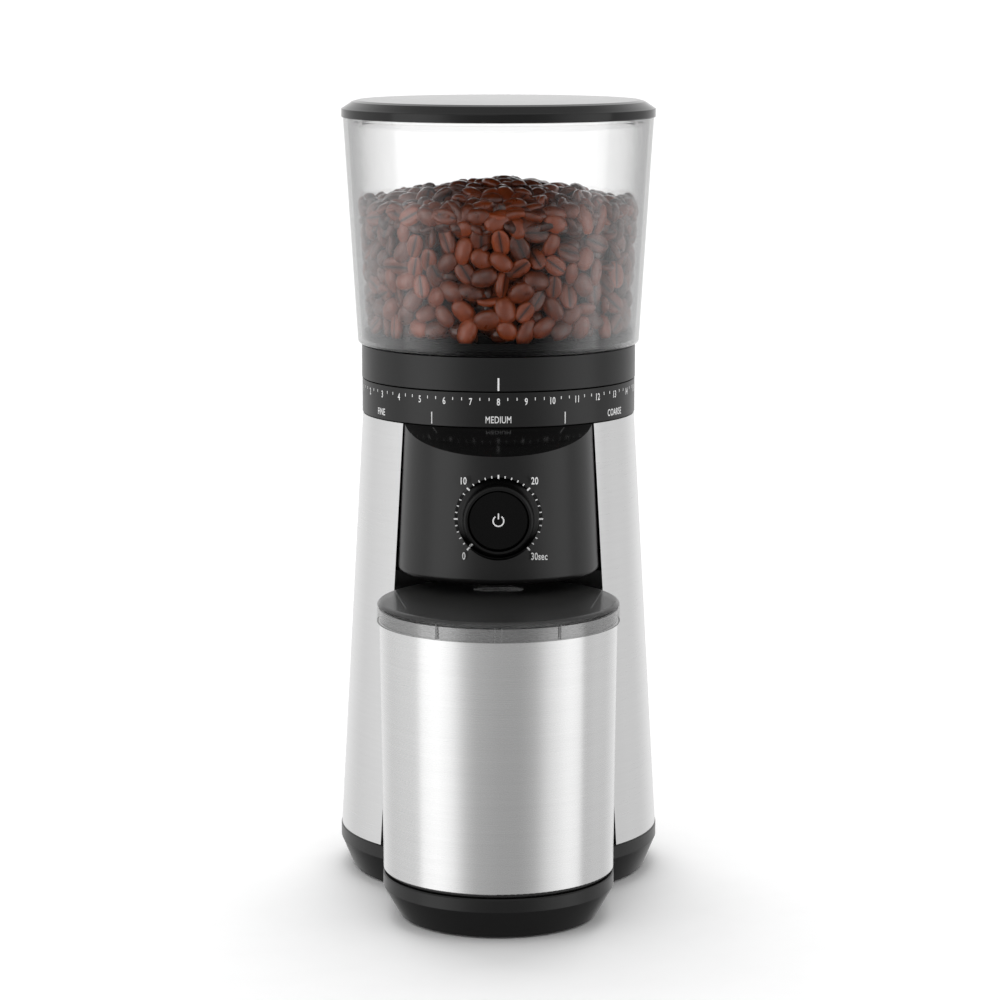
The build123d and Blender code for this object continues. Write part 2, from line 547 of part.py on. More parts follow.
with BuildPart() as sweeper_plate:
    drum(40.0, 201.4, 203.6, bore=SHAFT_R)
    drum(11.0, 203.6, 210.0, bore=SHAFT_R)
    with BuildSketch(Plane.XY.offset(203.6)):
        with Locations(BURR_AXIS):
            with PolarLocations(32.0, 6):
                Rectangle(16.0, 2.4)
    extrude(amount=5.4)
save(sweeper_plate.part, "sweeper_plate")

with BuildPart() as drive_shaft:
    drum(SHAFT_R, DECK_LOW + 0.4, 238.0)
    drum(3.0, 238.0, 242.6)
save(drive_shaft.part, "drive_shaft")

with BuildPart() as burr_nut:
    with BuildSketch(Plane.XY.offset(238.0)):
        with Locations(BURR_AXIS):
            RegularPolygon(6.4, 6)
            Circle(3.0, mode=Mode.SUBTRACT)
    extrude(amount=4.0)
save(burr_nut.part, "burr_nut")

with BuildPart() as shaft_seal:
    drum(10.6, CHAMBER_LOW, chamber_floor, bore=SHAFT_R + SHAFT_FIT)
save(shaft_seal.part, "shaft_seal")


# ---- gears -----------------------------------------------------------------------------------------
def heading(start, end):
    """Direction in plan, in degrees, from one point to another."""
    return degrees(atan2(end[1] - start[1], end[0] - start[0]))


def gear(module, teeth, at, first_tooth, low, high, bore):
    """Adds an involute spur gear that has a tooth centred on one direction.

    A flank follows the involute of the base circle, whose polar angle at a radius r is
    sqrt(r^2 / base^2 - 1) - atan(sqrt(r^2 / base^2 - 1)), from the base circle out to the tip.
    """
    pitch_r = module * teeth / 2
    base_r = pitch_r * cos(radians(PRESSURE_ANGLE))
    root_r, tip_r = pitch_r - 1.2 * module, pitch_r + 0.75 * module
    half_tooth = (pi / 2 - 0.12) / teeth  # a little thin, which leaves the backlash

    def involute(r):
        bend = sqrt(max(r**2 / base_r**2 - 1, 0))
        return bend - atan(bend)

    start_r = max(root_r, base_r)
    radii = [start_r + (tip_r - start_r) * step / 4 for step in range(5)]
    flank = [(r, half_tooth + involute(pitch_r) - involute(r)) for r in radii]
    flank = [(root_r, flank[0][1] + 0.24 / teeth)] + flank
    points = []
    for tooth in range(teeth):
        middle = radians(first_tooth) + 2 * pi * tooth / teeth
        for r, angle in [(r, -a) for r, a in flank] + flank[::-1]:
            points.append((at[0] + r * cos(middle + angle), at[1] + r * sin(middle + angle)))
    with BuildSketch(Plane.XY.offset(low)) as wheel:
        with BuildLine():
            Polyline(*points, close=True)
        make_face()
        with Locations(at):
            Circle(bore, mode=Mode.SUBTRACT)
    extrude(wheel.sketch, amount=high - low)


coarse_reach = COARSE_MODULE * (IDLER_PINION_TEETH + OUTPUT_TEETH) / 2
fine_reach = FINE_MODULE * (MOTOR_TEETH + IDLER_TEETH) / 2
idler_heading, motor_heading = radians(25.0), radians(155.0)
IDLER_AXIS = from_axis(coarse_reach * cos(idler_heading), coarse_reach * sin(idler_heading))
MOTOR_AXIS = (IDLER_AXIS[0] + fine_reach * cos(motor_heading),
              IDLER_AXIS[1] + fine_reach * sin(motor_heading))
AXLE_R, MOTOR_SHAFT_R = 2.5, 2.0

with BuildPart() as output_gear:
    gap_at_idler = heading(BURR_AXIS, IDLER_AXIS) + 180 / OUTPUT_TEETH
    gear(COARSE_MODULE, OUTPUT_TEETH, BURR_AXIS, gap_at_idler, COARSE_LOW, COARSE_HIGH - 1.5, SHAFT_R)
    drum(10.0, COARSE_LOW - 3.0, COARSE_LOW, bore=SHAFT_R)
    with BuildSketch(Plane.XY.offset(COARSE_LOW)):  # lightening holes in the web
        with Locations(BURR_AXIS):
            with PolarLocations(19.5, 6):
                Circle(5.0)
    extrude(amount=COARSE_HIGH - COARSE_LOW, mode=Mode.SUBTRACT)
save(output_gear.part, "output_gear")

with BuildPart() as idler_gear:
    gap_at_motor = heading(IDLER_AXIS, MOTOR_AXIS) + 180 / IDLER_TEETH
    gear(FINE_MODULE, IDLER_TEETH, IDLER_AXIS, gap_at_motor, FINE_LOW, FINE_HIGH, AXLE_R + SHAFT_FIT)
    gear(COARSE_MODULE, IDLER_PINION_TEETH, IDLER_AXIS, heading(IDLER_AXIS, BURR_AXIS), FINE_HIGH,
         COARSE_HIGH, AXLE_R + SHAFT_FIT)
save(idler_gear.part, "idler_gear")

with BuildPart() as idler_axle:
    drum(AXLE_R, DECK_LOW + 1.5, COVER_TOP, IDLER_AXIS)
save(idler_axle.part, "idler_axle")

with BuildPart() as motor_pinion:
    gear(FINE_MODULE, MOTOR_TEETH, MOTOR_AXIS, heading(MOTOR_AXIS, IDLER_AXIS), FINE_LOW, FINE_HIGH,
         MOTOR_SHAFT_R)
save(motor_pinion.part, "motor_pinion")

# ---- drive deck and gearbox ------------------------------------------------------------------------
EARS = [from_axis(-36.0, 20.0)] + [
    (IDLER_AXIS[0] + 34.0 * cos(radians(a)), IDLER_AXIS[1] + 34.0 * sin(radians(a))) for a in (-80, 110)]
deck_top = DECK_LOW + DECK_THICK


def circles(*rounds):
    """Draws the union of (centre, radius) circles."""
    for centre, radius in rounds:
        with Locations(centre):
            Circle(radius)


with BuildPart() as gearbox_tray:
    drum(DECK_R, DECK_LOW, deck_top)
    block(FAR, FAR, DECK_LOW, deck_top, from_axis(0, DECK_FRONT - FAR / 2), Mode.SUBTRACT)
    with BuildSketch(Plane.XY.offset(deck_top)):
        circles((IDLER_AXIS, 30.4), (MOTOR_AXIS, 11.0), (BURR_AXIS, 15.0))
    extrude(amount=TRAY_TOP - deck_top)
    with BuildSketch(Plane.XY.offset(deck_top)):
        circles((IDLER_AXIS, 28.6), (MOTOR_AXIS, 9.2), (BURR_AXIS, 13.2))
    extrude(amount=TRAY_TOP - deck_top, mode=Mode.SUBTRACT)
    drum(4.5, deck_top, TRAY_TOP, *EARS, bore=1.3)
    drum(5.5, deck_top, FINE_LOW - 0.5, IDLER_AXIS)
    drum(9.0, DECK_LOW, deck_top, mode=Mode.SUBTRACT)
    drum(6.0, DECK_LOW, deck_top, MOTOR_AXIS, mode=Mode.SUBTRACT)
    drum(AXLE_R, DECK_LOW + 1.5, FINE_LOW, IDLER_AXIS, mode=Mode.SUBTRACT)
    drum(1.6, DECK_LOW, deck_top, *DECK_SCREWS, mode=Mode.SUBTRACT)
save(gearbox_tray.part, "gearbox_tray")

with BuildPart() as gearbox_cover:
    with BuildSketch(Plane.XY.offset(TRAY_TOP + 0.1)):
        circles((IDLER_AXIS, 30.4), (MOTOR_AXIS, 11.0))
        circles(*[(ear, 4.5) for ear in EARS])
    extrude(amount=1.8)
    with BuildSketch(Plane.XY.offset(TRAY_TOP + 0.1)):
        circles((BURR_AXIS, 37.4), (IDLER_AXIS, 14.0))
    extrude(amount=COVER_TOP - TRAY_TOP - 0.1)
    with BuildSketch(Plane.XY.offset(TRAY_TOP + 0.1)):
        circles((BURR_AXIS, 35.4), (IDLER_AXIS, 12.2))
    extrude(amount=COVER_TOP - 2.4 - TRAY_TOP - 0.1, mode=Mode.SUBTRACT)
    drum(11.4, COVER_TOP, COVER_TOP + 5.6)
    drum(9.0, COVER_TOP - 2.4, COVER_TOP + 5.6, mode=Mode.SUBTRACT)
    drum(AXLE_R, COVER_TOP - 2.4, COVER_TOP, IDLER_AXIS, mode=Mode.SUBTRACT)
    drum(1.6, TRAY_TOP, TRAY_TOP + 1.9, *EARS, mode=Mode.SUBTRACT)
save(gearbox_cover.part, "gearbox_cover")

with BuildPart() as gearbox_screws:
    cover_seat = TRAY_TOP + 1.9
    for seat, spots in ((cover_seat, EARS), (deck_top, DECK_SCREWS)):
        drum(2.9, seat, seat + 1.8, *spots)
        drum(1.25, seat - 6.4, seat, *spots)
        for spot in spots:
            block(3.4, 0.8, seat + 0.9, seat + 1.8, spot, Mode.SUBTRACT)
save(gearbox_screws.part, "gearbox_screws")

with BuildPart() as shaft_bushings:
    drum(9.0, DECK_LOW, deck_top + 2.0, bore=SHAFT_R + SHAFT_FIT)
    drum(9.0, COVER_TOP - 2.4, COVER_TOP + 5.6, bore=SHAFT_R + SHAFT_FIT)
save(shaft_bushings.part, "shaft_bushings")

# ---- motor -----------------------------------------------------------------------------------------
with BuildPart() as motor_isolator:
    drum(MOTOR_R - 2.0, MOTOR_HIGH, DECK_LOW, MOTOR_AXIS, bore=8.0)
save(motor_isolator.part, "motor_isolator")

with BuildPart() as motor_can:
    drum(MOTOR_R, MOTOR_LOW, MOTOR_HIGH, MOTOR_AXIS)
    fillet(motor_can.faces().sort_by(Axis.Z)[-1].edges(), 2.0)
    drum(MOTOR_R - 1.6, MOTOR_LOW, MOTOR_HIGH - 1.8, MOTOR_AXIS, mode=Mode.SUBTRACT)
    drum(MOTOR_SHAFT_R + SHAFT_FIT, MOTOR_HIGH - 1.8, MOTOR_HIGH, MOTOR_AXIS, mode=Mode.SUBTRACT)
save(motor_can.part, "motor_can")

with BuildPart() as motor_endbell:
    drum(MOTOR_R, MOTOR_LOW - 4.0, MOTOR_LOW, MOTOR_AXIS)
    drum(7.0, MOTOR_LOW - 8.0, MOTOR_LOW - 4.0, MOTOR_AXIS)
    drum(MOTOR_SHAFT_R + SHAFT_FIT, MOTOR_LOW - 6.5, MOTOR_LOW, MOTOR_AXIS, mode=Mode.SUBTRACT)
save(motor_endbell.part, "motor_endbell")

with BuildPart() as motor_magnets:
    drum(MOTOR_R - 1.7, 98.0, 140.0, MOTOR_AXIS, bore=16.6)
    block(12.0, 60.0, 98.0, 140.0, MOTOR_AXIS, Mode.SUBTRACT)
save(motor_magnets.part, "motor_magnets")

with BuildPart() as motor_shaft:
    drum(MOTOR_SHAFT_R, MOTOR_LOW - 6.3, FINE_HIGH, MOTOR_AXIS)
save(motor_shaft.part, "motor_shaft")

with BuildPart() as motor_armature:
    drum(15.6, 102.0, 136.0, MOTOR_AXIS, bore=MOTOR_SHAFT_R)
    with BuildSketch(Plane.XY.offset(102.0)):  # winding slots
        with Locations(MOTOR_AXIS):
            with PolarLocations(13.4, 10):
                SlotOverall(6.0, 2.6)
    extrude(amount=34.0, mode=Mode.SUBTRACT)
save(motor_armature.part, "motor_armature")

with BuildPart() as motor_windings:
    for low, high in ((95.0, 102.0), (136.0, 143.0)):
        drum(13.6, low, high, MOTOR_AXIS, bore=4.0)
    fillet(motor_windings.edges().filter_by(GeomType.CIRCLE).group_by(Axis.Z)[0], 1.2)
    fillet(motor_windings.edges().filter_by(GeomType.CIRCLE).group_by(Axis.Z)[-1], 1.2)
save(motor_windings.part, "motor_windings")

with BuildPart() as motor_commutator:
    drum(6.0, 84.0, 94.0, MOTOR_AXIS, bore=MOTOR_SHAFT_R)
    with BuildSketch(Plane.XY.offset(84.0)):
        with Locations(MOTOR_AXIS):
            with PolarLocations(5.8, 10):
                Rectangle(1.0, 0.4)
    extrude(amount=10.0, mode=Mode.SUBTRACT)
save(motor_commutator.part, "motor_commutator")

with BuildPart() as motor_brushes:
    for side in (-1, 1):
        block(9.0, 4.0, 86.0, 92.0, (MOTOR_AXIS[0] + side * 10.8, MOTOR_AXIS[1]))
save(motor_brushes.part, "motor_brushes")

# ---- power board and wiring ------------------------------------------------------------------------
BOARD_Z = BASE_TOP + 4.0
board_top = BOARD_Z + 1.6
with BuildPart() as power_board:
    with BuildSketch(Plane.XY.offset(BOARD_Z)):
        with Locations(from_axis(0, 21)):
            RectangleRounded(84.0, 66.0, 3.0)
        with Locations(*BOARD_POSTS):
            Circle(1.6, mode=Mode.SUBTRACT)
    extrude(amount=board_top - BOARD_Z)
save(power_board.part, "power_board")

with BuildPart() as power_transformer:
    block(30.0, 26.0, board_top, board_top + 22.0, from_axis(-20, 12))
    block(22.0, 32.0, board_top + 3.0, board_top + 19.0, from_axis(-20, 12))
save(power_transformer.part, "power_transformer")

with BuildPart() as power_capacitors:
    drum(7.0, board_top, board_top + 24.0, from_axis(14, 8), from_axis(30, 8))
    fillet(power_capacitors.faces().sort_by(Axis.Z)[-2:].edges(), 1.0)
save(power_capacitors.part, "power_capacitors")


def cable(radius, path):
    """Sweeps a round lead along a path that is already drawn, square to its start."""
    with BuildSketch(Plane(path.line @ 0, z_dir=path.line % 0)) as lead:
        Circle(radius)
    sweep(lead.sketch, path=path.line)


with BuildPart() as motor_leads:  # from the power board up to the motor's end
    for side in (-1, 1):
        x, y = MOTOR_AXIS[0] + side * 15.0, MOTOR_AXIS[1]
        with BuildLine() as lead_path:
            FilletPolyline((x + 8 * side, y - 2, board_top), (x + 8 * side, y - 2, 58.0), (x, y, 66.0),
                           (x, y, MOTOR_LOW - 4.0), radius=4.0)
        cable(1.1, lead_path)
save(motor_leads.part, "motor_leads")

with BuildPart() as dial_leads:  # from the power board, up behind the bay wall, to the dial's board
    with BuildLine() as dial_path:
        FilletPolyline((*from_axis(-38, 4), board_top), (*from_axis(-38, 4), 46.0),
                       (*from_axis(-48, -34), 60.0), (*from_axis(-48, -34), 192.0),
                       (*from_axis(-42, -56), 198.0), (-18.0, board_front + 12.0, 198.0),
                       (-18.0, board_front + 1.6, 198.0), radius=5.0)
    cable(1.6, dial_path)
save(dial_leads.part, "dial_leads")
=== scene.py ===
"""Looks of a burr coffee grinder: steel skirt, black base and rings, clear hopper of beans, steel cup."""
import json
import math

import bmesh
import bpy
import numpy as np
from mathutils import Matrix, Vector


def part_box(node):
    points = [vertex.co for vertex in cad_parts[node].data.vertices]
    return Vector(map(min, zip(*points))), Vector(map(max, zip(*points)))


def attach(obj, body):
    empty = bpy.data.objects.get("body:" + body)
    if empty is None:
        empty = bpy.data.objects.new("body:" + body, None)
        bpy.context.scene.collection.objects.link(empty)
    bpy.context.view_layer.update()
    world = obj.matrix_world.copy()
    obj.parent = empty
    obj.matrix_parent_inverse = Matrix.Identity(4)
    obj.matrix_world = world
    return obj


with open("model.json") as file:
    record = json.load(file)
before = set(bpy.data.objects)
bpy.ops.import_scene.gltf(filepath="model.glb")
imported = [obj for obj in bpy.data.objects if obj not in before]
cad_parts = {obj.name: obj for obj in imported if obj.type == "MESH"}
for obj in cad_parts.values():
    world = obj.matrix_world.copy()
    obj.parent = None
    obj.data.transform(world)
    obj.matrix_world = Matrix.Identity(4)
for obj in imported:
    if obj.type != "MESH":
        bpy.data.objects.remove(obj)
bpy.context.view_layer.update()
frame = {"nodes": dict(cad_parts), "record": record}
nodes = frame["nodes"]
MM = 0.001
TAU = 2 * math.pi


def low(node):
    """Lowest corner of a CAD node as an array, in metres."""
    return np.array(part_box(node)[0])


def high(node):
    """Highest corner of a CAD node as an array, in metres."""
    return np.array(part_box(node)[1])


AXIS_Y = (low("scale_ring")[1] + high("scale_ring")[1]) / 2
CUP_Y = (low("cup_shell")[1] + high("cup_shell")[1]) / 2
KNOB = (low("start_button") + high("start_button")) / 2
RING_R = high("scale_ring")[0]
RING_TOP = high("scale_ring")[2]
GRIP_R = high("adjusting_ring")[0]
LID_R = high("cup_lid")[0]


# ---------------------------------------------------------------- node trees

class Level:
    """A socket in a tree. Sums, products and powers with it add Math nodes, whichever side it stands on."""

    def __init__(self, tree, socket):
        self.tree = tree
        self.socket = socket

    def maths(self, operation, first, second, clamp=False):
        """The result of one Math node."""
        settings = {"operation": operation, "use_clamp": clamp}
        return self.tree.add("ShaderNodeMath", settings, {0: first, 1: second})

    def __add__(self, other):
        return self.maths("ADD", self, other)

    def __sub__(self, other):
        return self.maths("SUBTRACT", self, other)

    def __mul__(self, other):
        return self.maths("MULTIPLY", self, other)

    def __pow__(self, other):
        return self.maths("POWER", self, other)

    def __radd__(self, other):
        return self.maths("ADD", other, self)

    def __rsub__(self, other):
        return self.maths("SUBTRACT", other, self)

    def __rmul__(self, other):
        return self.maths("MULTIPLY", other, self)

    def above(self, limit):
        """1 where the value is over limit, 0 elsewhere."""
        return self.maths("GREATER_THAN", self, limit)

    def held(self):
        """The value kept between 0 and 1."""
        return self.maths("ADD", self, 0.0, True)


class Tree:
    """A node tree that starts empty but for its output node."""

    def __init__(self, nodes_and_links, output_kind):
        self.tree = nodes_and_links
        self.tree.nodes.clear()
        self.end = self.tree.nodes.new(output_kind)

    def add(self, kind, settings, inputs, output=0):
        """A node of that kind: its settings, then values or links for its sockets. Gives the named output."""
        node = self.tree.nodes.new(kind)
        for key, value in settings.items():
            setattr(node, key, value)
        for key, value in inputs.items():
            if isinstance(value, Level):
                self.tree.links.new(value.socket, node.inputs[key])
            else:
                node.inputs[key].default_value = value
        return Level(self, node.outputs[output])

    def between(self, share, first, second):
        """Colour going from first to second as share goes from 0 to 1."""
        return self.add("ShaderNodeMix", {"data_type": "RGBA"}, {0: share, 6: first, 7: second}, 2)

    def axis(self, vector, letter):
        """One of a vector's three numbers."""
        return self.add("ShaderNodeSeparateXYZ", {}, {"Vector": vector}, letter)

    def rise(self, value, start, stop):
        """0 below start and 1 above stop, with a smooth step between."""
        return self.add("ShaderNodeMapRange", {"interpolation_type": "SMOOTHSTEP"},
                        {"Value": value, "From Min": start, "From Max": stop})

    def ramp(self, share, stops):
        """Grey that goes through the stops, each a place from 0 to 1 with its shade."""
        colour = self.add("ShaderNodeValToRGB", {}, {0: share}, "Color")
        elements = colour.socket.node.color_ramp.elements
        while len(elements) < len(stops):
            elements.new(0.5)
        for element, (where, shade) in zip(elements, stops):
            element.position = where
            element.color = grey(shade)
        return colour

    def show(self, shader):
        """Ends the tree in that shader."""
        self.tree.links.new(shader.socket, self.end.inputs["Surface"])


class Finish(Tree):
    """One surface finish: a material's tree that ends in a Principled shader, unless another is shown."""

    def __init__(self, name, **steady):
        self.material = bpy.data.materials.new(name)
        self.material.use_nodes = True
        super().__init__(self.material.node_tree, "ShaderNodeOutputMaterial")
        self.shader = self.add("ShaderNodeBsdfPrincipled", {}, {})
        self.skin = self.shader.socket.node
        self.show(self.shader)
        for socket, value in steady.items():
            self.skin.inputs[socket.replace("_", " ")].default_value = value
        self.place = self.add("ShaderNodeTexCoord", {}, {}, "Object")

    def noise(self, scale, detail=3.0, rough=0.5, stretch=None):
        """Cloudy noise on the object's own coordinates; stretch multiplies each axis first."""
        where = self.place
        if stretch is not None:
            where = self.add("ShaderNodeMapping", {}, {"Vector": where, "Scale": stretch})
        return self.add("ShaderNodeTexNoise", {}, {"Vector": where, "Scale": scale, "Detail": detail,
                                                   "Roughness": rough}, "Fac")

    def pits(self, scale):
        """Distance to the nearest of scattered points."""
        return self.add("ShaderNodeTexVoronoi", {}, {"Vector": self.place, "Scale": scale}, "Distance")

    def bump(self, height, strength, depth):
        """Normal of a surface raised by height times depth metres."""
        shape = {"Height": height, "Strength": strength, "Distance": depth}
        return self.add("ShaderNodeBump", {}, shape, "Normal")

    def facing_up(self, limit):
        """1 where the surface's upward share is over limit, 0 elsewhere."""
        return self.axis(self.add("ShaderNodeNewGeometry", {}, {}, "True Normal"), "Z").above(limit)

    def dress(self, **varying):
        """Joins values to the shader's sockets that may vary, and gives the finished material."""
        for socket, value in varying.items():
            self.tree.links.new(value.socket, self.skin.inputs[socket.replace("_", " ")])
        return self.material


def grey(value):
    """A neutral colour."""
    return (value, value, value, 1.0)


# ---------------------------------------------------------------- finishes

def moulded(name, dark, pale, roughness, spread, grain=9000.0, relief=0.00003, sheen=0.5):
    """Moulded plastic: fine spark-eroded grain as relief, slow shade clouds and a wandering roughness."""
    f = Finish(name, IOR=1.5, Specular_IOR_Level=sheen)
    fine = f.noise(grain, 2.0, 0.6)
    slow = f.noise(22.0, 3.0, 0.5)
    rubbed = f.noise(140.0, 4.0, 0.6)
    tone = (slow * 0.7 + rubbed * 0.3).held()
    return f.dress(Base_Color=f.between(tone, dark, pale), Roughness=roughness + (rubbed - 0.5) * spread,
                   Normal=f.bump(fine, 0.25, relief))


def brushed(name, dark, pale, roughness, stretch, anisotropic=0.7, rotation=0.0, relief=0.000012):
    """Brushed metal: noise drawn out along the brush lines gives the scratches' shade, gloss and relief."""
    f = Finish(name, Metallic=1.0, Anisotropic=anisotropic, Anisotropic_Rotation=rotation)
    lines = f.noise(1.0, 5.0, 0.7, stretch)
    broad = f.noise(1.0, 2.0, 0.5, tuple(scale * 0.2 for scale in stretch))
    haze = f.noise(14.0, 3.0, 0.5)
    tone = (lines * 0.55 + broad * 0.3 + haze * 0.15).held()
    return f.dress(Base_Color=f.between(tone, dark, pale), Normal=f.bump(lines, 0.35, relief),
                   Roughness=roughness + (lines - 0.5) * 0.16 + (haze - 0.5) * 0.05)


def cut_metal(name, dark, pale, roughness, scale=900.0, metallic=1.0):
    """Cast, sintered or turned metal: fine pits, cloudy tarnish and uneven polish."""
    f = Finish(name, Metallic=metallic)
    pits = f.pits(scale)
    tarnish = f.noise(60.0, 4.0, 0.6)
    tone = (tarnish * 0.8 + pits * 0.25).held()
    return f.dress(Base_Color=f.between(tone, dark, pale), Roughness=roughness + (tarnish - 0.5) * 0.2,
                   Normal=f.bump(pits, 0.3, 0.00002))


def wound_copper():
    """Lacquered copper wire: fine ridge bumps along the windings, the colour dimmer in the grooves between
    them as painted shade.
    """
    f = Finish("wound_copper", Metallic=1.0, Coat_Weight=0.6, Coat_Roughness=0.15)
    ridges_and_groove_shade = f.add("ShaderNodeTexWave", {"bands_direction": "Y"},
                   {"Vector": f.place, "Scale": 420.0, "Distortion": 1.5, "Detail": 2.0}, "Fac")
    cloud = f.noise(90.0)
    # Colour follows the ridge height, dimmer in the grooves: painted shade between the windings.
    tone = (ridges_and_groove_shade * 0.6 + cloud * 0.4).held()
    return f.dress(Base_Color=f.between(tone, (0.32, 0.1, 0.035, 1), (0.86, 0.42, 0.2, 1)),
                   Roughness=0.28 + (cloud - 0.5) * 0.2, Normal=f.bump(ridges_and_groove_shade, 0.6, 0.00012))


def board_lacquer():
    """Circuit board: green lacquer with thin copper tracks showing as paler lines on a square net."""
    f = Finish("board_lacquer", Coat_Weight=0.5, Coat_Roughness=0.1)
    upright = f.add("ShaderNodeMapping", {}, {"Vector": f.place, "Rotation": (math.pi / 2, 0, 0)})
    lanes = f.add("ShaderNodeTexBrick", {"offset": 0.5},
                  {"Vector": upright, "Scale": 90.0, "Mortar Size": 0.035, "Mortar Smooth": 0.2,
                   "Color1": grey(0), "Color2": grey(0), "Mortar": grey(1)}, "Fac")
    weave = f.noise(3000.0, 2.0)
    tracks = (lanes * 0.8 + weave * 0.15).held()
    return f.dress(Base_Color=f.between(tracks, (0.012, 0.085, 0.03, 1), (0.09, 0.27, 0.1, 1)),
                   Roughness=0.42 - tracks * 0.12, Normal=f.bump(tracks, 0.5, 0.00004))


def clear_wall(name, tint, edge_tint, mist, gloss=1.0):
    """Clear moulded plastic: light goes straight through, and is greyed and mirrored more as the wall turns
    away from the eye. Faint mould mist and hairline scratches vary the mirrored share."""
    f = Finish(name)
    scratches = f.noise(1.0, 4.0, 0.7, (60.0, 60.0, 900.0))
    cloud = f.noise(30.0, 3.0)
    through = f.add("ShaderNodeBsdfTransparent", {}, {"Color": tint}, "BSDF")
    edge = f.add("ShaderNodeBsdfTransparent", {}, {"Color": edge_tint}, "BSDF")
    mirror = f.add("ShaderNodeBsdfAnisotropic", {}, {"Color": grey(1.0), "Roughness": 0.03,
                                                     "Normal": f.bump(cloud, 0.08, 0.0001)}, "BSDF")
    steep = f.add("ShaderNodeLayerWeight", {}, {"Blend": 0.5}, "Facing")
    greyed = ((steep ** 3.4) * 0.75).held()
    mirrored = 0.001 + ((steep ** 1.5) * 0.5 + (steep ** 5.0) * 0.4) * gloss
    mirrored = (mirrored + mist * cloud + scratches.above(0.72) * 0.006 * gloss).held()
    bare = f.add("ShaderNodeMixShader", {}, {0: greyed, 1: through, 2: edge}, "Shader")
    f.show(f.add("ShaderNodeMixShader", {}, {0: mirrored, 1: bare, 2: mirror}, "Shader"))
    f.tree.nodes.remove(f.skin)
    return f.material


def smoked():
    """Smoke grey clear plastic of the cup's lid: steel shows through its rim, its top is nearly black."""
    f = Finish("smoke_plastic", IOR=1.5, Coat_Weight=0.2, Coat_Roughness=0.1)
    up = f.facing_up(0.35)
    cloud = f.noise(40.0, 3.0)
    scuffs = f.noise(500.0, 4.0, 0.7)
    return f.dress(Base_Color=f.between(cloud, grey(0.022), grey(0.034)),
                   Roughness=0.12 + up * 0.2 + (scuffs - 0.5) * 0.06,
                   Alpha=0.19 + up * 0.66 + cloud * 0.06, Normal=f.bump(cloud, 0.1, 0.00005))


def roasted():
    """Roasted bean: reddish brown, each bean its own tone, dimmed as painted shade for beans deeper in the
    heap, near black in its groove as painted shade, oily gloss, fine wrinkled skin.
    """
    f = Finish("roasted_bean", Specular_IOR_Level=0.4, Coat_Weight=0.9, Coat_Roughness=0.1)
    shade = f.add("ShaderNodeAttribute", {"attribute_name": "roast_and_depth_shade"}, {}, "Fac")
    crease_shade = f.add("ShaderNodeAttribute", {"attribute_name": "crease_shade"}, {}, "Fac") ** 2.0
    mottle = f.noise(260.0, 4.0, 0.6)
    skin = f.noise(1500.0, 3.0, 0.6)
    tone = (shade * 0.75 + (mottle - 0.5) * 0.7 + 0.1).held()
    warm = f.between(tone, (0.014, 0.003, 0.0012, 1), (0.31, 0.052, 0.007, 1))
    # The groove mark, squared, turns the colour towards near black: painted shade in the groove. It also makes
    # the groove rougher.
    return f.dress(Base_Color=f.between(crease_shade, warm, (0.012, 0.004, 0.002, 1)),
                   Roughness=0.32 + (mottle - 0.5) * 0.3 + crease_shade * 0.3, Normal=f.bump(skin, 0.3, 0.00012))


def housing_black():
    """The dial housing: satin on its bulging front, polished on the sloping roof that faces up."""
    f = Finish("housing_black", IOR=1.5)
    up = f.facing_up(0.6)
    fine = f.noise(9000.0, 2.0, 0.6)
    rubbed = f.noise(120.0, 4.0, 0.6)
    return f.dress(Base_Color=f.between((rubbed * (1 - up)).held(), grey(0.0015), grey(0.005)),
                   Roughness=0.29 + (rubbed - 0.5) * 0.08 - up * 0.15,
                   Normal=f.bump(fine * (1 - up), 0.25, 0.00003))


def ink(name, dark, pale):
    """Screen printed ink: slightly chalky, with worn specks."""
    f = Finish(name, Specular_IOR_Level=0.3)
    specks = f.noise(2600.0, 3.0, 0.7)
    return f.dress(Base_Color=f.between(specks, dark, pale), Roughness=0.5 + (specks - 0.5) * 0.3,
                   Normal=f.bump(specks, 0.2, 0.00001))


